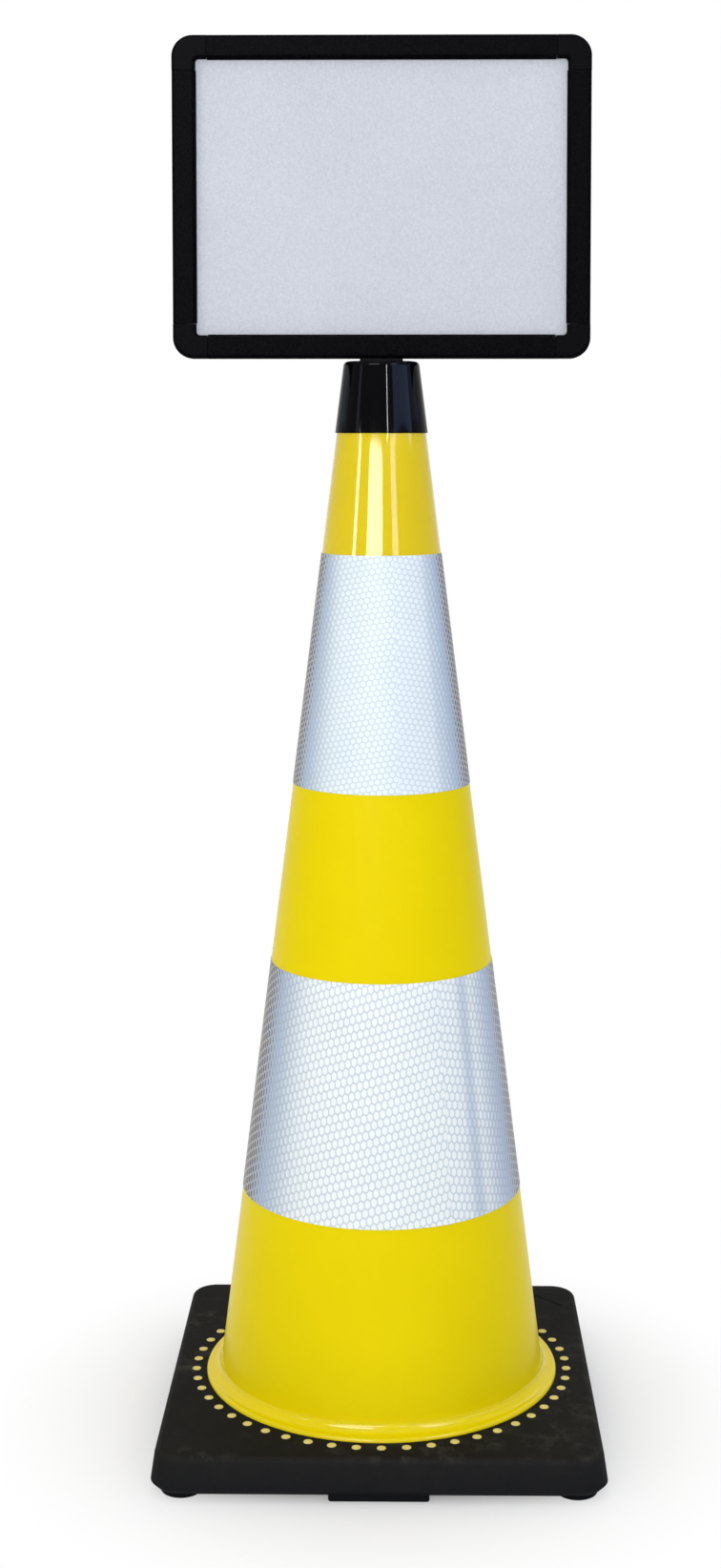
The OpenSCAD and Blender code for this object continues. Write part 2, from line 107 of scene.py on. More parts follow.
def add(tree, kind, inputs, **settings):
    """Adds one shader node of a kind, with its settings and inputs, and returns it."""
    node = tree.nodes.new("ShaderNode" + kind)
    for key, value in settings.items():
        setattr(node, key, value)
    return wire(tree, node, inputs)


def new_finish(name):
    """A new material, its node tree, its Principled shader and its Object coordinates."""
    made = bpy.data.materials.new(name)
    made.use_nodes = True
    tree = made.node_tree
    place = add(tree, "TexCoord", {}).outputs["Object"]
    return made, tree, tree.nodes["Principled BSDF"], place


MM = 0.001
print("one millimetre is", MM, "m; mid grey 808080 is", round(linear("808080")[0], 3))

# %% [markdown]
# ## Studio
# The photo shows the sign cut out on white. A white world behind a pale floor gives the same ground,
# and the floor keeps the soft shadow that tells where the sign stands. The world is plain white only
# to rays that come straight from the camera, off a shiny surface or through a clear one; what lights
# the object is a dimmer, even sky and a few softboxes, so that pale surfaces don't burn out.


# %% World
def white_ground(tree):
    """1 for rays from the camera, off gloss or through clear pieces, which see plain white, and 0 else."""
    ray = add(tree, "LightPath", {}).outputs
    shiny = add(tree, "Math", {0: ray["Is Glossy Ray"], 1: ray["Is Transmission Ray"]}, operation="MAXIMUM")
    return add(tree, "Math", {0: ray["Is Camera Ray"], 1: shiny}, operation="MAXIMUM")


sky_level = 0.57
world = bpy.data.worlds.new("studio")
bpy.context.scene.world = world
world.use_nodes = True
sky = world.node_tree
sky.nodes.clear()
dim = add(sky, "Background", {"Color": "FFFFFF", "Strength": sky_level})
white = add(sky, "Background", {"Color": "FFFFFF", "Strength": 1.0})
mixed = add(sky, "MixShader", {0: white_ground(sky), 1: dim, 2: white})
add(sky, "OutputWorld", {"Surface": mixed})
bpy.context.scene.view_settings.view_transform = "Standard"
print("sky level", sky_level)


# %% Softboxes
def softbox(name, turn, rise, width, height, radiance, tint="FFFFFF", roll=0.0, distance=2.5, aim=0.8,
            mirrored_only=False):
    """An area lamp at a turn from the front towards +X and a rise above the aim, in degrees, facing
    the cone's axis, with its right end rolled up. Its watts are radiance times pi times its area.
    A lamp that is mirrored only shows in gloss and adds no light to matt surfaces."""
    turn, rise = np.radians(turn), np.radians(rise)
    away = Vector((np.sin(turn) * np.cos(rise), -np.cos(turn) * np.cos(rise), np.sin(rise)))
    lamp = bpy.data.lights.new(name, "AREA")
    lamp.shape = "RECTANGLE"
    lamp.size, lamp.size_y = width, height
    lamp.energy = radiance * np.pi * width * height
    lamp.color = linear(tint)[:3]
    made = bpy.data.objects.new(name, lamp)
    made.location = away * distance + Vector((0, 0, aim))
    rolled = Quaternion((0, 0, 1), np.radians(roll))
    made.rotation_euler = (away.to_track_quat("Z", "Y") @ rolled).to_euler()
    made.visible_diffuse = not mirrored_only
    bpy.context.scene.collection.objects.link(made)
    return round(lamp.energy, 1)


# The low strips draw the bright upright streaks on the gloss near the cone's tip. The slits and the
# blue windows stand a little higher, where only the cap above it mirrors them, and the window's upper
# part shows only in the cap's round shoulder. The ring lines draw the highlight in the hollow above
# the ring, which leans back and so mirrors what stands higher still. Each line gives the turn and the
# rise, the width and height in metres, and the radiance.
print("watts:",
      softbox("strip_middle", -13, 11.2, 1.4, 0.29, 11.2, "FFFAF0"),
      softbox("strip_shine", -13, 11.2, 1.4, 0.29, 18.5, distance=2.55, mirrored_only=True),
      softbox("strip_left", -54, 10.4, 0.3, 0.27, 24.0),
      softbox("strip_right", 28, 11.2, 0.5, 0.29, 10.5),
      softbox("slit", 16, 17.0, 0.07, 0.18, 240.0, mirrored_only=True),
      softbox("slit_left", -63, 14.6, 0.3, 0.18, 5.5, "D8E0FF", mirrored_only=True),
      softbox("window", 58, 16.15, 2.3, 0.22, 4.0, "A8C0FF", roll=-3.8),
      softbox("window_shine", 58, 16.15, 2.3, 0.22, 5.7, "A8C0FF", roll=-3.8, distance=2.55,
              mirrored_only=True),
      softbox("window_end", 97, 13.4, 1.15, 0.22, 1.7, "A8C0FF", roll=-5.5, mirrored_only=True),
      softbox("window_left", -113, 11.5, 1.0, 0.22, 1.2, "A8C0FF", roll=5.5, mirrored_only=True),
      softbox("window_top", 52, 42, 0.8, 0.8, 12.0, "C0D2FF", mirrored_only=True),
      softbox("ring_line", -23, 33, 1.28, 0.5, 42.0, mirrored_only=True),
      softbox("ring_line_right", 39, 31, 0.7, 0.5, 22.0, mirrored_only=True),
      softbox("overhead", -10, 68, 1.6, 1.6, 0.8),
      softbox("behind", 165, 35, 1.8, 1.8, 0.9, distance=3.0))

# %% [markdown]
# ## Floor
# A large disc with a matt white finish. Near the sign it is lit like any surface, so it takes the
# shadow. Further out it turns to plain white for the camera, so no horizon line shows.

# %% Floor
floor_radius, floor_steps, shade_reach, fade_end = 8.0, 96, 0.08, 0.36
turns = np.linspace(0, 2 * np.pi, floor_steps, endpoint=False)
floor_mesh = bpy.data.meshes.new("floor")
floor_rim = np.column_stack([floor_radius * np.cos(turns), floor_radius * np.sin(turns), 0 * turns])
floor_mesh.from_pydata(floor_rim.tolist(), [], [list(range(len(turns)))])
floor = bpy.data.objects.new("floor", floor_mesh)
bpy.context.scene.collection.objects.link(floor)

matt_white, tree, shader, place = new_finish("matt_white_floor")
wire(tree, shader, {"Base Color": "F8F8F8", "Roughness": 0.9, "Specular IOR Level": 0.0})
far = add(tree, "VectorMath", {0: place}, operation="LENGTH").outputs["Value"]
fade = add(tree, "MapRange", {"Value": far, "From Min": shade_reach, "From Max": fade_end},
           interpolation_type="SMOOTHSTEP")
share = add(tree, "Math", {0: white_ground(tree), 1: fade}, operation="MULTIPLY")
glow = add(tree, "Emission", {"Color": "FFFFFF", "Strength": 1.0})
mixed = add(tree, "MixShader", {0: share, 1: shader, 2: glow})
wire(tree, tree.nodes["Material Output"], {"Surface": mixed})
floor_mesh.materials.append(matt_white)
print("floor: radius", floor_radius, "m, white beyond", fade_end, "m")

# %% [markdown]
# ## Helpers for shapes
# Every new piece is a grid of points worked out as whole arrays, in millimetres. A grid that closes
# on itself in both directions is a ring-shaped solid, such as a cone wall or the base, so most pieces
# need only a section and a path. Pieces could also be spun or bevelled by hand, but a formula keeps
# every edge where the solid has it.


# %% Grids, sections and pieces
def grid_faces(rows, columns, close_rows, close_columns):
    """Quads of a grid of points numbered row by row; a closed direction joins its last line to its first."""
    r = np.arange(rows if close_rows else rows - 1)[:, None]
    c = np.arange(columns if close_columns else columns - 1)[None]
    r2, c2 = (r + 1) % rows, (c + 1) % columns
    corners = [r * columns + c, r * columns + c2, r2 * columns + c2, r2 * columns + c]
    return np.stack(corners, -1).reshape(-1, 4)


def arc(x, y, radius, start, end, steps):
    """Points of an arc about (x, y): centre plus radius times (cos a, sin a), a in degrees."""
    a = np.radians(np.linspace(start, end, steps + 1))
    return np.column_stack([x + radius * np.cos(a), y + radius * np.sin(a)])


def soften(outline, cuts, steps=4):
    """Rounds the corners of a closed outline. Corner P becomes the curve (1-t)^2 A + 2t(1-t) P + t^2 B,
    where A and B lie a cut before and after P; points that fall together are kept once."""
    def towards(other):
        """The points a cut away from each corner on its way to another one."""
        gap = other - outline
        return outline + gap / np.linalg.norm(gap, axis=1, keepdims=True) * np.reshape(cuts, (-1, 1))
    a, b = towards(np.roll(outline, 1, 0)), towards(np.roll(outline, -1, 0))
    t = np.linspace(0, 1, steps + 1)[:, None]
    curve = (1 - t) ** 2 * a[:, None] + 2 * t * (1 - t) * outline[:, None] + t ** 2 * b[:, None]
    curve = curve.reshape(-1, 2)
    return curve[np.linalg.norm(curve - np.roll(curve, 1, 0), axis=1) > 1e-4]


def brace(outline, inset=0.12, longest=1.5):
    """Puts a point an inset from both ends of each long side of a closed outline, so that smooth
    shading bends only at the corners and the sides stay flat."""
    after = np.roll(outline, -1, 0)
    length = np.linalg.norm(after - outline, axis=1)[:, None]
    step = (after - outline) / np.maximum(length, 1e-9) * inset
    three = np.stack([outline, outline + step, after - step], 1)
    keep = np.column_stack([np.ones(len(outline), bool), *[length[:, 0] > longest] * 2])
    return three[keep]


def end_faces(rows, columns):
    """The faces that close a grid's first line, turned over, and its last line."""
    line = np.arange(columns)[None]
    return [line[:, ::-1], line + (rows - 1) * columns]


def revolve(section, steps, loop=True):
    """Turns a section of (radius, height) about Z: x = r cos t, y = r sin t, for t once round. A section
    that is no loop gets a flat face at each end."""
    t = np.linspace(0, 2 * np.pi, steps, endpoint=False)
    r, z = section[:, :1], section[:, 1:]
    points = np.stack([r * np.cos(t), r * np.sin(t), z + 0 * t], -1)
    faces = [grid_faces(len(section), steps, loop, True)]
    return points.reshape(-1, 3), faces if loop else faces + end_faces(len(section), steps)


def sweep(stations):
    """Skins stations of shape (stations, points, 3) into a closed bar with a flat face at each end."""
    rows, columns = stations.shape[:2]
    return stations.reshape(-1, 3), [grid_faces(rows, columns, False, True), *end_faces(rows, columns)]


def repeat(points, faces, shifts):
    """Copies one shape to each shift; the k-th copy's point numbers start at k times its point count."""
    starts = np.arange(len(shifts)) * len(points)
    moved = (np.asarray(shifts)[:, None] + points[None]).reshape(-1, 3)
    return moved, [(starts[:, None, None] + f[None]).reshape(-1, f.shape[1]) for f in faces]


sharp_angle, eased_angle = 32, 60


def make_piece(name, body, blocks, finishes, replaced, wear=None):
    """One mesh object from blocks of (points in mm, face arrays, finish number). It rides on a body,
    stands for CAD nodes and is smooth except across edges that turn by more than the sharp angle."""
    starts = np.cumsum([0] + [len(points) for points, _, _ in blocks])
    faces = [face for start, (_, arrays, _) in zip(starts, blocks)
             for array in arrays for face in (array + start).tolist()]
    numbers = [number for _, arrays, number in blocks for array in arrays for _ in range(len(array))]
    points = np.concatenate([block[0] for block in blocks]) * MM
    mesh = bpy.data.meshes.new(name)
    mesh.from_pydata(points.tolist(), [], faces)
    mesh.polygons.foreach_set("material_index", numbers)
    mesh.polygons.foreach_set("use_smooth", np.ones(len(faces), bool))
    mesh.set_sharp_from_angle(angle=np.radians(sharp_angle))
    for finish in finishes:
        mesh.materials.append(finish)
    if wear is not None:
        mesh.attributes.new("wear", "FLOAT", "POINT").data.foreach_set("value", wear.astype(np.float32))
    piece = bpy.data.objects.new(name, mesh)
    bpy.context.scene.collection.objects.link(piece)
    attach(piece, body)
    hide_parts(*replaced)
    print(f"{name}: {len(points)} points, {len(faces)} faces, rides on {body}")
    return piece


def ease_edges(piece, width):
    """Rounds the edges that turn by more than the eased angle, with a live bevel of a width in mm."""
    bevel = piece.modifiers.new("eased_edges", "BEVEL")
    bevel.width = width * MM
    bevel.segments = 2
    bevel.angle_limit = np.radians(eased_angle)


def levels(node):
    """Lowest and highest level of a CAD node, in millimetres."""
    low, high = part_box(node)
    return low.z / MM, high.z / MM


# %% [markdown]
# ## Yellow PVC
# The cone is injection-moulded soft PVC, coloured right through. At the tip and at the foot the mould
# was polished and the skin shines; between them it is satin. The skin is never quite even: it has a
# slow wave that makes the highlights wobble and a fine orange peel, both as bump, and faint blotches
# in the colour. One function makes all three skins, and their borders lie under the upper band and in
# the hollow above the ring.

# %% Yellow PVC
pvc_blotch, pvc_wave, pvc_peel = 70 * MM, 28 * MM, 1.6 * MM
wave_depth, peel_depth, pvc_ior = 0.25 * MM, 0.02 * MM, 1.53


def moulded_pvc(name, dark, light, smooth, rough, shine, waviness=0.3):
    """PVC skin whose colour and roughness follow the blotches, with a slow wave and a fine peel as bump."""
    made, tree, shader, place = new_finish(name)
    blotch = add(tree, "TexNoise", {"Vector": place, "Scale": 1 / pvc_blotch, "Detail": 4.0})
    tint = add(tree, "Mix", {"Factor": blotch, "A": dark, "B": light}, data_type="RGBA")
    gloss = add(tree, "MapRange", {"Value": blotch, "To Min": smooth, "To Max": rough})
    wave = add(tree, "TexNoise", {"Vector": place, "Scale": 1 / pvc_wave, "Detail": 1.0})
    peel = add(tree, "TexNoise", {"Vector": place, "Scale": 1 / pvc_peel, "Detail": 2.0})
    waved = add(tree, "Bump", {"Height": wave, "Distance": wave_depth, "Strength": waviness})
    peeled = add(tree, "Bump", {"Height": peel, "Distance": peel_depth, "Strength": 0.3, "Normal": waved})
    wire(tree, shader, {"Base Color": tint, "Roughness": gloss, "Normal": peeled, "IOR": pvc_ior,
                        "Specular IOR Level": shine})
    return made


satin_pvc = moulded_pvc("satin_yellow_pvc", "EAD300", "F1DC02", smooth=0.26, rough=0.32, shine=0.045)
# The tip's yellow is darker and warmer than the satin's: painted shade.
tip_pvc = moulded_pvc("polished_yellow_pvc_tip", "DEC300", "E6CE00", smooth=0.035, rough=0.07, shine=0.2)
ring_pvc = moulded_pvc("polished_yellow_pvc_ring", "EAD300", "F1DC02", smooth=0.06, rough=0.1, shine=0.14,
                       waviness=0.08)

# The pegs' flat tops were cut in the mould and are paler and matt.
peg_speckle = 1.3 * MM
pale_peg_pvc, tree, shader, place = new_finish("pale_yellow_pvc_peg_tops")
peg_speckle_noise = add(tree, "TexNoise", {"Vector": place, "Scale": 1 / peg_speckle, "Detail": 3.0})
tint = add(tree, "Mix", {"Factor": peg_speckle_noise, "A": "DCC94A", "B": "E6DAA0"}, data_type="RGBA")
wire(tree, shader, {"Base Color": tint, "Roughness": 0.6, "Specular IOR Level": 0.2})
print("finishes:", satin_pvc.name, tip_pvc.name, ring_pvc.name, pale_peg_pvc.name)

# %% [markdown]
# ## Cone
# The cone is a thin wall with a ring at its foot that hides the joint with the rubber. Its pegs run
# down through the base and show as a circle of fifty yellow dots. A wall of revolution is a section
# carried round a circle. The section goes up the outside, over the tip and down the inside, so the
# hollow is real, and the dots are one small round-edged peg repeated round the circle.

# %% Cone wall and ring
cone_bottom, cone_tip = levels("cone_body")
base_top = levels("base")[1]
cone_foot_radius, cone_tip_radius, cone_wall = 139.0, 30.8, 3.2
cone_slope = (cone_foot_radius - cone_tip_radius) / (cone_tip - base_top)
ring_radius, ring_height, ring_round, ring_fillet = 150.7, 3.0, 2.9, 9.0
sunk, tip_ease, wall_rows, cone_steps = 0.4, 1.0, 48, 240


def cone_radius(z):
    """Outer radius of the wall at a level: the foot's radius less the slope times the rise."""
    return cone_foot_radius - (z - base_top) * cone_slope


ring_top = base_top + ring_height
fillet_z = ring_top + ring_fillet
lean = np.degrees(np.arctan(cone_slope))
wall_z = np.linspace(fillet_z + ring_fillet, cone_tip - tip_ease, wall_rows)
cone_section = np.concatenate([
    [[cone_radius(cone_bottom) - cone_wall, cone_bottom], [cone_radius(cone_bottom), cone_bottom],
     [cone_radius(base_top), base_top - sunk], [ring_radius, base_top - sunk]],
    arc(ring_radius - ring_round, ring_top - ring_round, ring_round, 0, 90, 8),
    arc(cone_radius(fillet_z) + ring_fillet, fillet_z, ring_fillet, 270, 180 + lean, 14),
    np.column_stack([cone_radius(wall_z), wall_z]),
    arc(cone_tip_radius - cone_wall / 2, cone_tip - cone_wall / 2, cone_wall / 2, 10, 170, 6)])
cone_points, cone_faces = revolve(cone_section, cone_steps)
row_level = (cone_section[:, 1] + np.roll(cone_section[:, 1], -1, 0)) / 2
skin_number = (row_level > np.mean(levels("upper_band"))) + 2 * (row_level < fillet_z)
skin_number = np.repeat(skin_number, cone_steps)
cone_skins = [(cone_points, [cone_faces[0][skin_number == 0]], 0)]
for number in (1, 2):
    cone_skins.append((np.zeros((0, 3)), [cone_faces[0][skin_number == number] - len(cone_points)], number))
print("cone wall:", len(cone_section), "points in its section, leaning by", round(lean, 2), "degrees")

# %% Ring of pegs
peg_count, peg_radius, peg_proud, peg_round, peg_steps = 50, 3.75, 0.6, 0.5, 20
peg_circle_radius, peg_turn = 159.5, 0.7
peg_section = np.concatenate([
    [[peg_radius, base_top - sunk]],
    arc(peg_radius - peg_round, base_top + peg_proud - peg_round, peg_round, 0, 80, 4),
    [[peg_radius / 2, base_top + peg_proud]]])
peg_points, peg_faces = revolve(peg_section, peg_steps, loop=False)
turns = np.radians(peg_turn - 90 + 360 * np.arange(peg_count) / peg_count)
peg_places = peg_circle_radius * np.column_stack([np.cos(turns), np.sin(turns), 0 * turns])
make_piece("cone_skin", "cone", [*cone_skins, (*repeat(peg_points, peg_faces, peg_places), 3)],
           [satin_pvc, tip_pvc, ring_pvc, pale_peg_pvc], ["cone_body"])

# %% [markdown]
# ## Honeycomb sheeting
# Reflective sheeting is a clear film over tiny prisms, sealed into cells by a honeycomb of thin
# walls. The prisms throw light back only when it comes in fairly straight: seen square on the cells
# are whiter than their walls, towards the sides both fade to one blue-grey, and edge on the cells are
# dark while their walls still catch the light. That sheen is painted into the base colour, which Layer
# Weight drives, with one function for both finishes: the whiter colour square on is painted sheen, the
# blue-grey towards the sides is painted reflection, and edge on the dark cells are painted shade and
# the pale walls painted light. A straight strip down the cone is painted in the same blue-grey
# reflection. A radial gradient finds it: its value is the turn about the axis, as a share of a full
# turn. Past the strip, on the lower band, the painted sheen stays bright to a flatter angle.

# %% Sheeting: cells and walls
sheet_blotch = 35 * MM
# Facing ranges where the painted sheen fades to painted reflection, and where that turns to painted shade
# and light edge on.
painted_sheen_facing, painted_edge_facing = (0.17, 0.5), (0.52, 0.7)
# Turn, half width and softness of the strip painted in the blue-grey reflection.
painted_reflection_turn, painted_reflection_half, painted_reflection_soft = 0.374, 0.004, 0.01


def sheeting(name, square, slant_painted_reflection, edge_on_painted_tone, roughness, painted_reflection_strength, painted_sheen_shift):
    """Film whose base colour goes from square-on to slant to edge-on as Facing (1 - cos) grows: painted
    sheen, painted reflection, then painted shade and light. A strip at one turn takes the slant colour
    too, and past it a shift is taken off Facing."""
    made, tree, shader, place = new_finish(name)
    blotch = add(tree, "TexNoise", {"Vector": place, "Scale": 1 / sheet_blotch, "Detail": 3.0})
    tint = add(tree, "Mix", {"Factor": blotch, "A": square[0], "B": square[1]}, data_type="RGBA")
    # The strip at one turn takes the blue-grey painted reflection; past it the painted sheen reaches a
    # flatter angle.
    turn = add(tree, "TexGradient", {"Vector": place}, gradient_type="RADIAL").outputs["Fac"]
    off = add(tree, "Math", {0: turn, 1: painted_reflection_turn}, operation="SUBTRACT")
    away = add(tree, "Math", {0: off}, operation="ABSOLUTE")
    painted_reflection_strip = add(tree, "MapRange", {"Value": away, "From Min": painted_reflection_half, "To Min": painted_reflection_strength,
                                  "From Max": painted_reflection_half + painted_reflection_soft, "To Max": 0.0})
    tint = add(tree, "Mix", {"Factor": painted_reflection_strip, "A": tint, "B": slant_painted_reflection}, data_type="RGBA")
    past = add(tree, "MapRange", {"Value": turn, "From Min": painted_reflection_turn, "To Max": painted_sheen_shift,
                                  "From Max": painted_reflection_turn + painted_reflection_soft})
    # Layer Weight drives the base colour: painted sheen square on, painted reflection at a slant, painted
    # shade and light edge on.
    facing = add(tree, "LayerWeight", {"Blend": 0.5}).outputs["Facing"]
    facing = add(tree, "Math", {0: facing, 1: past}, operation="SUBTRACT")
    for (low, high), colour in ((painted_sheen_facing, slant_painted_reflection), (painted_edge_facing, edge_on_painted_tone)):
        turned = add(tree, "MapRange", {"Value": facing, "From Min": low, "From Max": high},
                     interpolation_type="SMOOTHSTEP")
        tint = add(tree, "Mix", {"Factor": turned, "A": tint, "B": colour}, data_type="RGBA")
    wire(tree, shader, {"Base Color": tint, "Roughness": roughness, "Specular IOR Level": 0.2})
    return made


# The two bands come from different rolls: the upper one is a little bluer and has paler walls.
# Edge on, the cells' dark colour is painted shade and the walls' pale one is painted light.
cell_edge_painted_shade, cell_rough, wall_edge_painted_light, wall_rough = "4C4640", 0.3, "C0C1C3", 0.45
upper_painted_sheen = {"painted_reflection_strength": 0.2, "painted_sheen_shift": 0.0}
lower_painted_sheen = {"painted_reflection_strength": 0.45, "painted_sheen_shift": 0.12}
upper_film = [
    sheeting("prism_cells_upper_roll", ("E2F0F8", "EBF6FC"), "B0C1D8", cell_edge_painted_shade, cell_rough, **upper_painted_sheen),
    sheeting("cell_walls_upper_roll", ("CAD8E4", "D3DFE9"), "AFBFD3", wall_edge_painted_light, wall_rough, **upper_painted_sheen)]
lower_film = [
    sheeting("prism_cells_lower_roll", ("EEF7FB", "F7FCFE"), "B0C0D5", cell_edge_painted_shade, cell_rough, **lower_painted_sheen),
    sheeting("cell_walls_lower_roll", ("C9D6DF", "D3DEE6"), "A9B9CE", wall_edge_painted_light, wall_rough, **lower_painted_sheen)]
print("finishes:", [film.name for film in upper_film + lower_film])

# %% [markdown]
# ## Bands
# Each band is one flat sheet, cut as a sector of a ring, wrapped round the cone and lapped at a seam
# that shows near the front. A pattern painted on the cone would have to stretch somewhere, so the
# honeycomb is laid out on the flat sheet first and then wrapped: that is why its rows climb towards
# the seam and run differently on its far side. Each cell is a sunk hexagon with a raised rim.

# %% Honeycomb on a flat sheet, wrapped round the cone
cell_pitch, cell_share, cell_depth, back_relief = 5.2, 0.80, 0.12, 0.1
flat_reach, sliver_area, weld_steps = 0.55, 0.02, 1000
film_stand, film_thickness, lap_width, lap_ramp = 0.6, 0.4, 10.0, 7.0
cone_sine = cone_slope / np.hypot(1, cone_slope)
cone_cosine = 1 / np.hypot(1, cone_slope)


def flat_cells(reach, middle, row_angle):
    """Corners of hexagons on the flat sheet, whose apex is (0, 0): centres i (1, 0) + j (1/2, sqrt(3)/2)
    times the pitch, turned by the row angle; corners at pitch / sqrt(3), inner ones a share of that."""
    n = int(reach / cell_pitch)
    j, i = np.mgrid[-n:n + 1, -n:n + 1]
    across = np.stack([i + (j % 2) / 2, j * np.sqrt(3) / 2], -1).reshape(-1, 2) * cell_pitch
    turn = np.radians(row_angle)
    along = np.array([[np.cos(turn), np.sin(turn)], [-np.sin(turn), np.cos(turn)]])
    centres = across @ along + [0, -middle]
    a = turn + np.radians(30 + 60 * np.arange(6))
    spokes = np.column_stack([np.cos(a), np.sin(a)]) * cell_pitch / np.sqrt(3)
    shares = np.array([cell_share, 1.0])[:, None, None]
    return centres, centres[:, None, None] + spokes * shares


def honeycomb_band(node, seam_turn, row_angle, stretch):
    """Blocks of a band: flat cells go to slant distance s and angle p, are cut at the sheet's edges by
    clamping, and wrap to turn = p / sin(cone angle) and radius = s sin(cone angle), with s stretched
    about the band's middle. Corners that fall on one step of the welding grid become one point."""
    low, high = levels(node)
    s_low, s_high = ((cone_radius(z) + film_stand) / cone_sine for z in (low, high))
    middle, half = (s_low + s_high) / 2, (s_low - s_high) / 2 / stretch
    half_wrap = np.pi * cone_sine + lap_width / middle / 2
    centres, corners = flat_cells(s_low * flat_reach, middle, row_angle)
    near_s = np.abs(np.hypot(*centres.T) - middle) < half + cell_pitch
    near_p = np.abs(np.arctan2(centres[:, 0], -centres[:, 1])) < half_wrap + cell_pitch / middle
    corners = corners[near_s & near_p]
    s = np.clip(np.hypot(corners[..., 0], corners[..., 1]), middle - half, middle + half)
    p = np.clip(np.arctan2(corners[..., 0], -corners[..., 1]), -half_wrap, half_wrap)
    rim = np.broadcast_to(np.array([0, 1])[:, None], s.shape)
    keys = np.stack([s * weld_steps, p * middle * weld_steps, rim], -1).reshape(-1, 3).round()
    _, first, number = np.unique(keys.astype(np.int64), axis=0, return_index=True, return_inverse=True)
    number = number.reshape(s.shape)
    s, p, rim = (values.reshape(-1)[first] for values in (s, p, rim))

    def wrap(lift):
        """The sheet's points on the cone; over the lap the radius grows by one film, in a smooth step."""
        lap = np.clip((p * middle - half_wrap * middle + lap_width + lap_ramp) / lap_ramp, 0, 1)
        slant = middle + (s - middle) * stretch
        r = slant * cone_sine + lift + film_thickness * lap * lap * (3 - 2 * lap)
        turn = np.radians(seam_turn) + (p - half_wrap) / cone_sine
        z = low + (s_low - slant) * cone_cosine
        return np.column_stack([r * np.cos(turn), r * np.sin(turn), z])

    def wide(faces):
        """The faces that clamping left wider than a sliver; an area is half the sum of x y' - x' y."""
        x, y = p[faces] * middle, s[faces]
        area = (x * np.roll(y, -1, 1) - np.roll(x, -1, 1) * y).sum(1) / 2
        return faces[np.abs(area) > sliver_area]

    inner, outer = number[:, 0], number[:, 1]
    floors = wide(inner)
    rims = wide(np.stack([inner, outer, np.roll(outer, -1, 1), np.roll(inner, -1, 1)], -1).reshape(-1, 4))
    sides = np.concatenate([np.stack([f, np.roll(f, -1, 1)], -1).reshape(-1, 2) for f in (floors, rims)])
    count = len(s)
    edge = sides[~np.isin(sides[:, 0] * count + sides[:, 1], sides[:, 1] * count + sides[:, 0])]
    skirt = np.stack([edge[:, 0], edge[:, 0] + count, edge[:, 1] + count, edge[:, 1]], -1)
    relief = (rim - 1) * cell_depth
    points = np.concatenate([wrap(relief), wrap(back_relief * relief - film_stand)])
    backs = [faces[:, ::-1] + count for faces in (floors, rims)]
    walls = [faces - len(points) for faces in (rims, skirt, *backs)]
    return [(points, [floors], 0), (np.zeros((0, 3)), walls, 1)]


make_piece("upper_sheeting", "cone",
           honeycomb_band("upper_band", seam_turn=-78.1, row_angle=30, stretch=1.0),
           upper_film, ["upper_band"])
make_piece("lower_sheeting", "cone",
           honeycomb_band("lower_band", seam_turn=-60.3, row_angle=30, stretch=1.5),
           lower_film, ["lower_band"])

# %% [markdown]
# ## Black rubber
# The base is pressed from recycled rubber: nearly black, matt, with a fine crumb grain, grey scuffs
# where it was dragged and paler edges where it rubs. The edge wear follows the piece's own attribute,
# which is 1 along the edges and 0 on the flats. The scuffs lie only on the top, and the top is a
# lighter, warmer black than the cooler sides: painted light on the top and painted shade on the sides.
# One old cut lies in the top: it is where the distance from the axis is close to one radius, kept to
# a short stretch near one corner. It is a bump with a near-black line, which is painted shade in its groove.

# %% Black rubber
crumb, scuff, smear = 1.1 * MM, 16 * MM, 60 * MM
crumb_depth, scuff_depth, cut_depth = 0.15 * MM, 0.3 * MM, 0.5 * MM
wear_share, cut_full = 0.25, 0.8
top_dirt_and_light_from, top_dirt_and_light_to = 31 * MM, 34.5 * MM
cut_radius, cut_half, cut_reach, cut_middle = 207 * MM, 1.6 * MM, 22 * MM, (0.152, 0.141, 0)
black_rubber, tree, shader, place = new_finish("pressed_black_rubber")
grain = add(tree, "TexNoise", {"Vector": place, "Scale": 1 / crumb, "Detail": 3.0})
scuffs = add(tree, "TexNoise", {"Vector": place, "Scale": 1 / scuff, "Detail": 8.0, "Roughness": 0.65})
smears = add(tree, "TexNoise", {"Vector": place, "Scale": 1 / smear, "Detail": 4.0})
marks = add(tree, "MapRange", {"Value": scuffs, "From Min": 0.48, "From Max": 0.78})
patch = add(tree, "MapRange", {"Value": smears, "From Min": 0.42, "From Max": 0.66})
dusty = add(tree, "Math", {0: marks, 1: patch}, operation="MULTIPLY")
height = add(tree, "SeparateXYZ", {0: place}).outputs["Z"]
# The top's share: it keeps the scuffs, which are dirt, on the top, and gives the top its lighter, warmer
# black, which is painted light.
top_dirt_and_light = add(tree, "MapRange", {"Value": height, "From Min": top_dirt_and_light_from, "From Max": top_dirt_and_light_to})
dirt = add(tree, "Math", {0: dusty, 1: top_dirt_and_light}, operation="MULTIPLY")
flat = add(tree, "VectorMath", {0: place, 1: (1, 1, 0)}, operation="MULTIPLY")
out = add(tree, "VectorMath", {0: flat}, operation="LENGTH").outputs["Value"]
off = add(tree, "Math", {0: out, 1: cut_radius}, operation="SUBTRACT")
away = add(tree, "Math", {0: off}, operation="ABSOLUTE")
line = add(tree, "MapRange", {"Value": away, "From Min": cut_half, "To Min": 1.0,
                              "From Max": 2 * cut_half, "To Max": 0.0})
along = add(tree, "VectorMath", {0: flat, 1: cut_middle}, operation="DISTANCE").outputs["Value"]
ends = add(tree, "MapRange", {"Value": along, "From Min": cut_reach * cut_full, "To Min": 1.0,
                              "From Max": cut_reach, "To Max": 0.0})
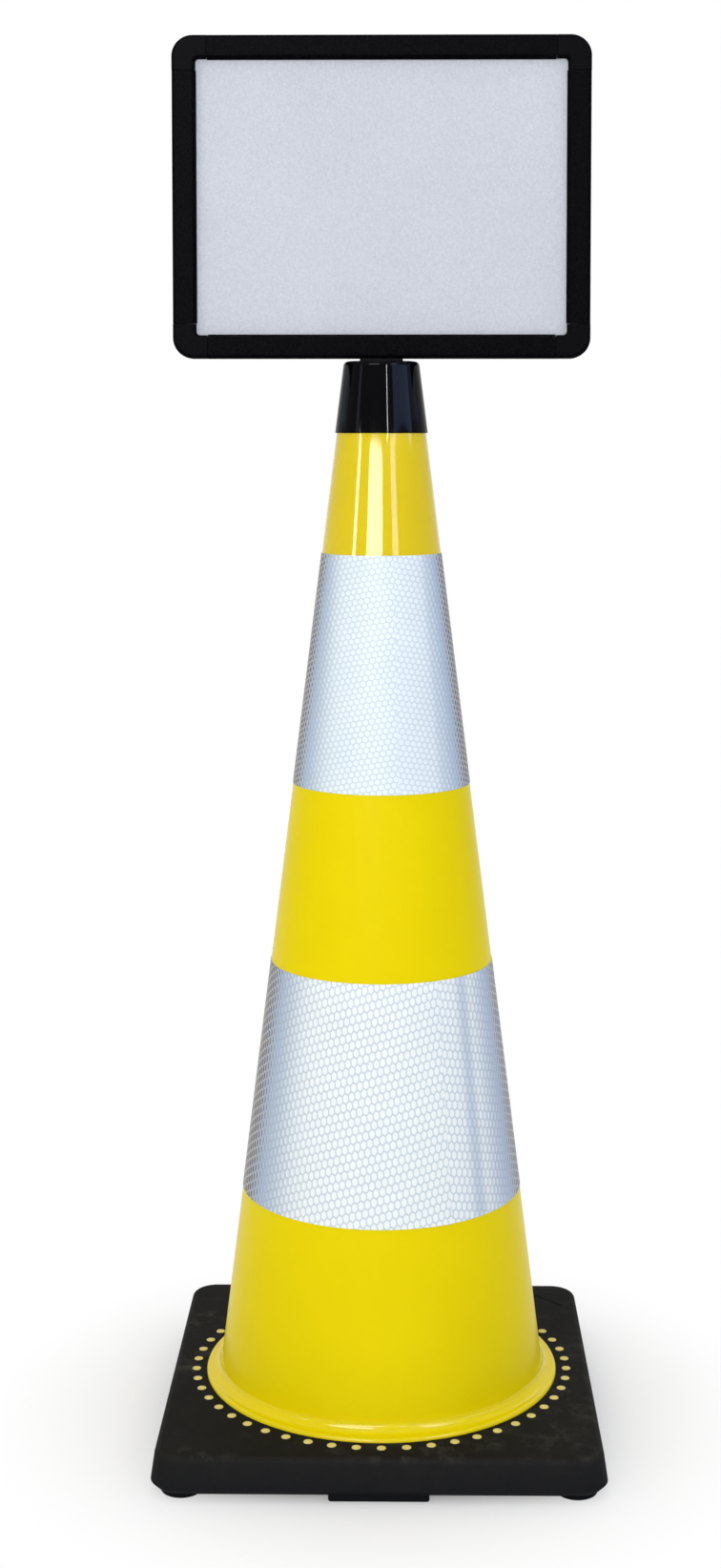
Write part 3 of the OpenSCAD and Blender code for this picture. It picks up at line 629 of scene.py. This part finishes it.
cut = add(tree, "Math", {0: line, 1: ends}, operation="MULTIPLY")
wear = add(tree, "Attribute", {}, attribute_name="wear").outputs["Fac"]
worn = add(tree, "Math", {0: wear, 1: scuffs}, operation="MULTIPLY")
pale = add(tree, "Math", {0: worn, 1: wear_share, 2: dirt}, operation="MULTIPLY_ADD", use_clamp=True)
# The sides' cooler, darker black is painted shade and the top's lighter, warmer black is painted light.
side = add(tree, "Mix", {"Factor": grain, "A": "0C0D10", "B": "131418"}, data_type="RGBA")
top = add(tree, "Mix", {"Factor": grain, "A": "0F0F0E", "B": "171613"}, data_type="RGBA")
plain = add(tree, "Mix", {"Factor": top_dirt_and_light, "A": side, "B": top}, data_type="RGBA")
tint = add(tree, "Mix", {"Factor": pale, "A": plain, "B": "403F3A"}, data_type="RGBA")
# The cut's near-black line is painted shade in its groove.
tint = add(tree, "Mix", {"Factor": cut, "A": tint, "B": "020202"}, data_type="RGBA")
rough = add(tree, "MapRange", {"Value": scuffs, "To Min": 0.6, "To Max": 0.9})
grainy = add(tree, "Bump", {"Height": grain, "Distance": crumb_depth, "Strength": 0.5})
scuffed = add(tree, "Bump", {"Height": scuffs, "Distance": scuff_depth, "Strength": 0.2, "Normal": grainy})
carved = add(tree, "Bump", {"Height": cut, "Distance": cut_depth, "Strength": 0.6, "Normal": scuffed},
             invert=True)
wire(tree, shader, {"Base Color": tint, "Roughness": rough, "Specular IOR Level": 0.05, "Normal": carved})
print("finish:", black_rubber.name)

# %% [markdown]
# ## Base
# The base is a square slab with round corners, sides that lean in a little so that it leaves its
# mould, a rounded top edge and a chamfer below. It is one edge section carried round a rounded square
# and closed through the bore that holds the cone. Round feet at the corners and a pad in the middle
# of each side keep it off the ground.


# %% Base slab
def rounded_outline(half_x, half_y, side_steps, corner_steps):
    """A rectangle's corner-to-corner points q and outward normals n once round; q + d n is the
    rounded outline at a distance d."""
    corners = np.array([[1, -1], [1, 1], [-1, 1], [-1, -1]]) * [half_x, half_y]
    along = np.linspace(0, 1, side_steps, endpoint=False)[:, None]
    bend = np.linspace(0, 90, corner_steps, endpoint=False)
    ends = np.roll(corners, -1, 0)
    q = [part for here, there in zip(corners, ends)
         for part in (here + (there - here) * along, np.repeat(there[None], corner_steps, 0))]
    turn = np.radians([a for k in range(4) for a in (*np.full(side_steps, 90.0 * k), *(90 * k + bend))])
    return np.concatenate(q), np.column_stack([np.cos(turn), np.sin(turn)])


def carry_round(around, outwards, section):
    """Rings of a section of (distance d, height z) carried round an outline: the points q + d n, at z."""
    d, z = section.T[:, :, None, None]
    rings = around + outwards * d
    return np.concatenate([rings, np.broadcast_to(z, rings[..., :1].shape)], -1)


base_corner_radius, base_draft, base_edge_round, base_chamfer, flat_edge = 25.0, 3.0, 5.0, 4.0, 1.0
foot_height = 6.0
base_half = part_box("base")[1].x / MM
corner_centre = base_half - base_corner_radius
around, outwards = rounded_outline(corner_centre, corner_centre, side_steps=24, corner_steps=14)
bearing = np.arctan2(*(around + outwards).T[::-1])
bore = cone_radius(base_top) * np.column_stack([np.cos(bearing), np.sin(bearing)])
side_lean = np.degrees(np.arctan(base_draft / (base_top - foot_height - base_chamfer)))
edge_section = np.concatenate([
    [[flat_edge, foot_height], [base_corner_radius - base_chamfer, foot_height],
     [base_corner_radius, foot_height + base_chamfer]],
    arc(base_corner_radius - base_draft - base_edge_round, base_top - base_edge_round, base_edge_round,
        side_lean, 90, 8),
    [[flat_edge, base_top]]])
bore_low, bore_high = (np.column_stack([bore, 0 * bearing + z]) for z in (foot_height, base_top))
slab = np.concatenate([[bore_low], carry_round(around, outwards, edge_section), [bore_high]])
slab_faces = [grid_faces(*slab.shape[:2], True, True)]
# Wear is half on the chamfer and full round the top edge, up to where the flat top begins.
edge_wear = np.zeros(len(slab))
edge_wear[[2, 3]] = 0.5
edge_wear[4:-3] = 1.0
slab_wear = np.repeat(edge_wear, len(around))
print("base slab:", len(slab), "rings of", len(around), "points")

# %% Feet and side pads
foot_radius, foot_round, foot_steps, pad_width, pad_depth = 17.0, 1.5, 40, 80.0, 16.0
foot_section = np.concatenate([
    arc(foot_radius - foot_round, foot_round, foot_round, 270, 360, 4),
    [[foot_radius, foot_height + base_chamfer]]])
foot_points, foot_faces = revolve(foot_section, foot_steps, loop=False)
foot_places = np.array([[x, y, 0] for x in (-1, 1) for y in (-1, 1)]) * [corner_centre, corner_centre, 0]

pad_half = np.array([pad_depth, pad_width]) / 2 - foot_round - flat_edge
pad_section = foot_section - [foot_radius - foot_round - flat_edge, 0]
pad = carry_round(*rounded_outline(*pad_half, side_steps=4, corner_steps=5), pad_section)
pad_points, pad_faces = sweep(pad + [base_half - base_chamfer - pad_depth / 2, 0, 0])
quarter = np.array([[0, -1, 0], [1, 0, 0], [0, 0, 1]])
pads = [(pad_points @ np.linalg.matrix_power(quarter, k).T, pad_faces, 0) for k in range(4)]
feet = (*repeat(foot_points, foot_faces, foot_places), 0)
base_blocks = [(slab.reshape(-1, 3), slab_faces, 0), feet, *pads]
base_wear = np.zeros(sum(len(block[0]) for block in base_blocks))
base_wear[:len(slab_wear)] = slab_wear
make_piece("base_skin", "cone", base_blocks, [black_rubber], ["base"], wear=base_wear)

# %% [markdown]
# ## Cap
# The cap is a polished black moulding that slips over the tip. Black gloss has almost no colour of
# its own: the eye reads it by the lamps it mirrors, so the finish is dark, smooth and has only a slow
# wave and hair-fine scratches. The shape is again a section carried round, with a soft shoulder.

# %% Gloss black plastic and the cap
cap_wave, cap_wave_depth, cap_scratch = 24 * MM, 0.2 * MM, 0.7 * MM
gloss_black, tree, shader, place = new_finish("polished_black_abs")
wave = add(tree, "TexNoise", {"Vector": place, "Scale": 1 / cap_wave, "Detail": 1.0})
stretched = add(tree, "Mapping", {"Vector": place, "Scale": (1.0, 1.0, 0.08)})
scratch = add(tree, "TexNoise", {"Vector": stretched, "Scale": 1 / cap_scratch, "Detail": 2.0})
rough = add(tree, "MapRange", {"Value": scratch, "To Min": 0.02, "To Max": 0.07})
tint = add(tree, "Mix", {"Factor": wave, "A": "040406", "B": "070709"}, data_type="RGBA")
waved = add(tree, "Bump", {"Height": wave, "Distance": cap_wave_depth, "Strength": 0.2})
wire(tree, shader, {"Base Color": tint, "Roughness": rough, "Normal": waved, "IOR": 1.5,
                    "Specular IOR Level": 0.036})

cap_mouth, cap_top = levels("top_cap")
cap_wall, cap_gap, cap_edge_round, stud_hole, lip_round, cap_steps = 1.25, 0.3, 4.0, 4.08, 0.35, 192
cap_out = cap_gap + cap_wall
shoulder = cone_radius(cap_top - cap_edge_round) + cap_out - cap_edge_round / np.cos(np.radians(lean))
lip_centre = cone_radius(cap_mouth + lip_round) + cap_out - lip_round / np.cos(np.radians(lean))
cap_section = brace(np.concatenate([
    [[stud_hole, cone_tip], [cone_radius(cone_tip) + cap_gap, cone_tip],
     [cone_radius(cap_mouth) + cap_gap, cap_mouth]],
    arc(lip_centre, cap_mouth + lip_round, lip_round, 270, 360 + lean, 5),
    arc(shoulder, cap_top - cap_edge_round, cap_edge_round, lean, 90, 12),
    [[stud_hole, cap_top]]]))
make_piece("cap_skin", "cap", [(*revolve(cap_section, cap_steps), 0)],
           [gloss_black], ["top_cap"])

# %% [markdown]
# ## Frame finishes
# The rails are aluminium extrusions with a black powder coat, which dries to a fine satin grain. The
# corner pieces are moulded nylon with a spark-eroded texture, a touch greyer. Both are so dark that
# most of what shows is a soft shine along their rounded edges.

# %% Powder coat, nylon and painted steel
rough_swing = 0.08


def dark_coat(name, dark, light, grit, roughness, shine, depth):
    """Near-black coat: one grain in colour, roughness and bump, with its size in millimetres. Real grit
    is a few tenths of a millimetre; here it is about 1.3 mm, so that it still shows in the picture."""
    made, tree, shader, place = new_finish(name)
    grain = add(tree, "TexNoise", {"Vector": place, "Scale": 1 / (grit * MM), "Detail": 3.0})
    spread = add(tree, "MapRange", {"Value": grain, "From Min": 0.35, "From Max": 0.65})
    tint = add(tree, "Mix", {"Factor": spread, "A": dark, "B": light}, data_type="RGBA")
    rough = add(tree, "MapRange", {"Value": grain, "To Min": roughness - rough_swing,
                                   "To Max": roughness + rough_swing})
    bump = add(tree, "Bump", {"Height": grain, "Distance": depth * MM, "Strength": 0.5})
    wire(tree, shader, {"Base Color": tint, "Roughness": rough, "Specular IOR Level": shine, "Normal": bump})
    return made


powder_black = dark_coat("black_powder_coat", "000001", "0C0B10", 1.4, 0.45, 0.01, 0.06)
nylon_black = dark_coat("spark_textured_black_nylon", "010103", "0E0E12", 1.2, 0.48, 0.013, 0.06)
paint_black = dark_coat("black_painted_steel", "020203", "0F0F12", 1.2, 0.4, 0.024, 0.05)
print("finishes:", powder_black.name, nylon_black.name, paint_black.name)

# %% [markdown]
# ## Snap rails
# Each of the four front rails hooks round a bead on the fixed rail behind it and flips open to free
# the sheet. All four have one section: the hook with its rounded outer edge, a flat face and a lip
# that slopes down to the sheet. It is carried along the rail, which could be done with a curve and a
# bevel object too, but arrays keep the section's arcs exact and the ends square.

# %% Section and sides of the frame
frame_depth, hook_radius, bead_clear = 12.0, 3.5, 1.68
face_thickness, front_edge, rail_width, lip_thickness, lip_level = 1.8, 17.5, 20.5, 1.4, 6.3
corner_length, rail_end_gap, corner_radius, corner_setback = 29.0, 0.4, 17.5, 0.6
hinge_u, hinge_v = hook_radius, frame_depth - hook_radius
under_face = frame_depth - face_thickness
hook_from, hook_to, lip_cuts = -60, 160, [0.3, 0.25, 0.4, 0.6]
meets_face = np.degrees(np.arcsin((under_face - hinge_v) / hook_radius))

frame_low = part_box("corner_bottom_left")[0] / MM
frame_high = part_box("corner_top_right")[1] / MM
frame_middle = (frame_low.z + frame_high.z) / 2
RIGHT, FRONT, UP = np.array([1, 0, 0]), np.array([0, -1, 0]), np.array([0, 0, 1])
frame_back = frame_high.y
side_frames = {
    "bottom": (np.array([0, frame_back, frame_low.z]), RIGHT, UP, frame_high.x),
    "top": (np.array([0, frame_back, frame_high.z]), -RIGHT, -UP, frame_high.x),
    "left": (np.array([frame_low.x, frame_back, frame_middle]), -UP, RIGHT, frame_high.z - frame_middle),
    "right": (np.array([frame_high.x, frame_back, frame_middle]), UP, -RIGHT, frame_high.z - frame_middle)}

lip = np.array([[front_edge - lip_thickness, under_face], [rail_width - lip_thickness, lip_level],
                [rail_width, lip_level], [front_edge, frame_depth]])
hook_in = arc(hinge_u, hinge_v, bead_clear, hook_to, hook_from, 14)
hook_toe = arc(hinge_u, hinge_v, hook_radius, hook_from, meets_face, 8)
hook_out = arc(hinge_u, hinge_v, hook_radius, 90, hook_to, 10)
outline = np.concatenate([hook_toe, lip, hook_out, hook_in])
cuts = np.zeros(len(outline))
cuts[len(hook_toe):len(hook_toe) + len(lip_cuts)] = lip_cuts
snap_section = brace(soften(outline, cuts))
print("snap rail section:", len(snap_section), "points")

# %% Four snap rails
end_round = 0.25
for side, (origin, along, inwards, half) in side_frames.items():
    reach = half - corner_length - rail_end_gap
    run = np.array([-reach, reach])[:, None, None] * along
    across = snap_section[:, :1] * inwards + snap_section[:, 1:] * FRONT
    rail = make_piece(f"{side}_flip_rail", f"{side}_flap",
                      [(*sweep(origin + run + across), 0)], [powder_black], [f"{side}_snap_rail"])
    ease_edges(rail, end_round)

# %% [markdown]
# ## Corner pieces
# A corner piece has the rail's section but turns through a right angle: its outside follows a large
# radius and the sheet's opening only a small one. For a depth u into the frame, the bend's centre and
# radius both run evenly from the outer to the inner values, so one formula draws the whole bend. The
# back of the section has the slot that holds the sheets' corners.

# %% Four corner pieces
inner_reach, inner_radius = rail_width - corner_setback, 3.0
plate, slot_floor, corner_cuts = 1.4, 10.2, [0.8, 0.3, 0.2, 0.2, 0.2, 0.4, 0.6]
outline = np.concatenate([
    [[0, 0], [inner_reach, 0], [inner_reach, plate], [slot_floor, plate], [slot_floor, lip_level],
     [inner_reach, lip_level], [front_edge, frame_depth]],
    arc(hinge_u, hinge_v, hook_radius, 90, 180, 12)])
cuts = np.zeros(len(outline))
cuts[:len(corner_cuts)] = corner_cuts
corner_section = brace(soften(outline, cuts))
u, v = corner_section.T
share = u / inner_reach
bend_centre = corner_radius + share * (inner_reach + inner_radius - corner_radius)
bend_radius = corner_radius + share * (inner_radius - corner_radius)
bend = np.radians(np.linspace(180, 270, 17))[:, None]
bend_x = bend_centre + bend_radius * np.cos(bend)
bend_y = bend_centre + bend_radius * np.sin(bend)
leg = np.full((1, len(u)), corner_length)
x = np.concatenate([u[None], bend_x, leg])
y = np.concatenate([leg, bend_y, u[None]])

channel_middle, spigot_width, spigot_low, spigot_high, spigot_end = 6.6, 4.6, 1.5, 4.3, 43.0
spigot_half, spigot_round, spigot_root = spigot_width / 2, 0.5, 1.0
spigot_corners = np.array([[-spigot_half, spigot_low], [spigot_half, spigot_low],
                           [spigot_half, spigot_high], [-spigot_half, spigot_high]])
spigot_u, spigot_v = soften(spigot_corners, [spigot_round] * 4).T + [[channel_middle], [0]]
spigot_run = np.array([[corner_length - spigot_root], [spigot_end]]) + 0 * spigot_u
corner_frames = {
    "bottom_left": (frame_low.x, frame_low.z, RIGHT, UP),
    "bottom_right": (frame_high.x, frame_low.z, UP, -RIGHT),
    "top_right": (frame_high.x, frame_high.z, -RIGHT, -UP),
    "top_left": (frame_low.x, frame_high.z, -UP, RIGHT)}
for name, (at_x, at_z, ex, ey) in corner_frames.items():
    origin = np.array([at_x, frame_back, at_z])
    body = origin + x[..., None] * ex + y[..., None] * ey + v[:, None] * FRONT
    along_x = origin + spigot_run[..., None] * ex + spigot_u[:, None] * ey + spigot_v[:, None] * FRONT
    along_y = origin + spigot_u[:, None] * ex + spigot_run[::-1, :, None] * ey + spigot_v[:, None] * FRONT
    make_piece(f"{name}_corner", "sign",
               [(*sweep(stations), 0) for stations in (body, along_x, along_y)],
               [nylon_black], [f"corner_{name}"])

# %% [markdown]
# ## Bracket
# The bracket is a strip of painted steel, bent at a right angle: its foot lies between the cap and
# the frame and its leg is riveted to the frame's back. A bent strip has a round inside and outside of
# the bend, so its side view is drawn with two arcs and carried across its width.

# %% Bracket strip
bracket_low, bracket_high = (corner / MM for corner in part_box("bracket"))
strip, strip_edge, bend_inside = 2.4, 0.4, 1.0
bend_outside = bend_inside + strip
bend_y, bend_z = bracket_high.y - bend_outside, bracket_low.z + bend_outside
side_view = np.concatenate([
    [[bracket_low.y, bracket_low.z]],
    arc(bend_y, bend_z, bend_outside, 270, 360, 8),
    [[bracket_high.y, bracket_high.z], [bracket_high.y - strip, bracket_high.z]],
    arc(bend_y, bend_z, bend_inside, 360, 270, 6),
    [[bracket_low.y, bracket_low.z + strip]]])
across = np.array([bracket_low.x, bracket_high.x])[:, None, None] * RIGHT
strip_stations = across + np.insert(side_view, 0, 0, axis=1)[None]
bracket_strip = make_piece("bracket_strip", "sign", [(*sweep(strip_stations), 0)],
                           [paint_black], ["bracket"])
ease_edges(bracket_strip, strip_edge)

# %% [markdown]
# ## Sheets
# Behind the lips lie three sheets: a rigid grey panel at the back, the blank sign sheet and a clear
# anti-glare cover. The sign sheet is pale and slightly blue, with the faint mottle of printed vinyl.
# The cover is nearly invisible: it is mostly see-through, with a soft, broken shine.

# %% Sheet finishes
vinyl_mottle, vinyl_cloud = 1.6 * MM, 90 * MM
white_vinyl, tree, shader, place = new_finish("blank_pale_vinyl")
mottle = add(tree, "TexNoise", {"Vector": place, "Scale": 1 / vinyl_mottle, "Detail": 3.0})
cloud = add(tree, "TexNoise", {"Vector": place, "Scale": 1 / vinyl_cloud, "Detail": 2.0})
speck = add(tree, "Math", {0: cloud, 1: 0.2, 2: mottle}, operation="MULTIPLY_ADD")
tint = add(tree, "Mix", {"Factor": speck, "A": "AFB5C1", "B": "DADEE7"}, data_type="RGBA")
wire(tree, shader, {"Base Color": tint, "Roughness": 0.6, "Specular IOR Level": 0.12})

clear_cover, tree, shader, place = new_finish("clear_anti_glare_sheet")
frost = add(tree, "TexNoise", {"Vector": place, "Scale": 1 / vinyl_mottle, "Detail": 2.0})
rough = add(tree, "MapRange", {"Value": frost, "To Min": 0.35, "To Max": 0.55})
wire(tree, shader, {"Base Color": "F4F7FA", "Roughness": rough, "Alpha": 0.08, "Specular IOR Level": 0.2})

panel_grain, panel_grain_depth = 1.5 * MM, 0.04 * MM
grey_panel, tree, shader, place = new_finish("rigid_grey_polystyrene")
grain = add(tree, "TexNoise", {"Vector": place, "Scale": 1 / panel_grain, "Detail": 3.0})
tint = add(tree, "Mix", {"Factor": grain, "A": "AEB1B6", "B": "B8BBC0"}, data_type="RGBA")
bump = add(tree, "Bump", {"Height": grain, "Distance": panel_grain_depth, "Strength": 0.4})
wire(tree, shader, {"Base Color": tint, "Roughness": 0.6, "Normal": bump})
print("finishes:", white_vinyl.name, clear_cover.name, grey_panel.name)

# %% [markdown]
# ## Metal
# The swivel and the fasteners are small metal parts: zinc-plated steel with a soft, cloudy shine,
# bright spring steel and plain aluminium rivets. A metal's colour is its reflection, so each differs
# in tint, in roughness and in the size of its grain.

# %% Metal finishes
metal_grain_depth = 0.02 * MM


def bare_metal(name, dark, light, grain_size, smooth, rough):
    """Metallic finish whose tint and roughness follow one noise of a real grain size in millimetres."""
    made, tree, shader, place = new_finish(name)
    grain = add(tree, "TexNoise", {"Vector": place, "Scale": 1 / (grain_size * MM), "Detail": 4.0})
    tint = add(tree, "Mix", {"Factor": grain, "A": dark, "B": light}, data_type="RGBA")
    gloss = add(tree, "MapRange", {"Value": grain, "To Min": smooth, "To Max": rough})
    bump = add(tree, "Bump", {"Height": grain, "Distance": metal_grain_depth, "Strength": 0.4})
    wire(tree, shader, {"Base Color": tint, "Roughness": gloss, "Metallic": 1.0, "Normal": bump})
    return made


zinc_steel = bare_metal("zinc_plated_steel", "A9ABB0", "C6C8CB", 1.2, 0.25, 0.45)
spring_steel = bare_metal("bright_spring_steel", "8E9096", "A6A8AD", 0.6, 0.2, 0.35)
rivet_aluminium = bare_metal("plain_aluminium", "B4B5B8", "CBCCCE", 0.8, 0.3, 0.5)
print("finishes:", zinc_steel.name, spring_steel.name, rivet_aluminium.name)

# %% [markdown]
# ## Screws and rivets
# Pan-head screws hold the corner pieces from behind and two blind rivets hold the bracket. Both are
# turned shapes: a section carried round, then laid on its side so that the head faces backwards. The
# screw's cross is pressed into its head by lowering the points that lie in two crossed slots.


# %% Screws and rivets
def turned(section, steps):
    """Revolves a section of (radius, height), closes both ends and lays it down: height runs to +Y."""
    points, faces = revolve(section, steps, loop=False)
    return points[:, [0, 2, 1]] * [1, 1, -1], faces


def crossed_slots(a, b, half_width, half_length, soft):
    """1 inside two slots that cross at the middle, 0 outside, with a slope of the given width between."""
    def inside(value, limit):
        """1 where a value is well within a limit on both sides, 0 beyond it."""
        return np.clip((limit - np.abs(value)) / soft, 0, 1)
    upright = np.minimum(inside(a, half_width), inside(b, half_length))
    level = np.minimum(inside(b, half_width), inside(a, half_length))
    return np.maximum(upright, level)


screw_radius, screw_head, screw_length, screw_at, screw_steps = 1.2, 1.2, 3.5, 36.0, 64
point_radius, point_length = 0.3, 0.8
head_radius, dome_edge, dome_middle, dome_fall, dome_rows = 2 * screw_radius, 0.2, 0.05, 0.35, 30
recess_depth, slot_half, slot_reach, slot_slope = 0.6, 0.42, 1.35, 0.15
dome_r = np.linspace(head_radius - dome_edge, dome_middle, dome_rows)
screw_section = np.concatenate([
    [[point_radius, -screw_length], [screw_radius, -screw_length + point_length], [screw_radius, 0],
     [head_radius, 0], [head_radius, screw_head / 2]],
    np.column_stack([dome_r, screw_head - dome_fall * (dome_r / head_radius) ** 2])])
screw_points, screw_faces = turned(screw_section, screw_steps)
on_dome = np.arange(len(screw_points)) >= (len(screw_section) - dome_rows) * screw_steps
slots = crossed_slots(screw_points[:, 0], screw_points[:, 2], slot_half, slot_reach, slot_slope)
screw_points[:, 1] -= on_dome * slots * recess_depth
screw_places = [np.array([at_x, frame_back, at_z]) + run * ex + rise * ey
                for at_x, at_z, ex, ey in corner_frames.values()
                for run, rise in ((screw_at, channel_middle), (channel_middle, screw_at))]
make_piece("pan_head_screws", "sign", [(*repeat(screw_points, screw_faces, screw_places), 0)],
           [zinc_steel], ["corner_screws"])

rivet_radius, rivet_head, rivet_tail, rivet_spacing, rivet_steps = 1.6, 1.2, 2.0, 22.0, 40
rivet_head_radius, rivet_head_round, rivet_head_edge = 2 * rivet_radius, 1.0, 0.2
tail_radius, tail_round, tail_tip = 2.3, 0.6, 0.4
mandrel, mandrel_gap, mandrel_sunk, mandrel_tip, mandrel_crown = 0.9, 0.15, 0.4, 0.2, 0.3
leg_back = bracket_high.y
tail_end = frame_back - plate - rivet_tail - leg_back
rivet_section = np.concatenate([
    [[tail_tip, tail_end]],
    arc(tail_radius - tail_round, tail_end + tail_round, tail_round, 270, 360, 4),
    [[tail_radius, tail_end + rivet_tail], [rivet_radius, tail_end + rivet_tail], [rivet_radius, 0],
     [rivet_head_radius, 0]],
    arc(rivet_head_radius - rivet_head_round, rivet_head_edge, rivet_head_round, 0, 80, 6),
    [[mandrel + mandrel_gap, rivet_head], [mandrel, rivet_head - mandrel_sunk],
     [mandrel_tip, rivet_head - mandrel_crown]]])
rivet_points, rivet_faces = turned(rivet_section, rivet_steps)
rivet_places = [np.array([side * rivet_spacing / 2, leg_back, frame_low.z + channel_middle])
                for side in (-1, 1)]
make_piece("blind_rivets", "sign", [(*repeat(rivet_points, rivet_faces, rivet_places), 0)],
           [rivet_aluminium], ["bracket_rivets"])

# %% [markdown]
# ## Solids that stay
# The sheets, the back rails, the springs and the swivel have the right shape as they come from the
# CAD model. They could be drawn again, but nothing more would show, so they only take a finish.

# %% Finishes for the solids that stay
kept = {
    zinc_steel: ["pivot_stud", "flat_washer", "lock_nut"],
    spring_steel: ["spring_washer", "rail_springs"],
    powder_black: [f"{side}_back_rail" for side in side_frames],
    white_vinyl: ["sign_sheet"], clear_cover: ["clear_cover"], grey_panel: ["back_panel"]}
for finish, names in kept.items():
    for name in names:
        nodes[name].material_slots[0].material = finish
print("solids that stay:", sum(len(names) for names in kept.values()))
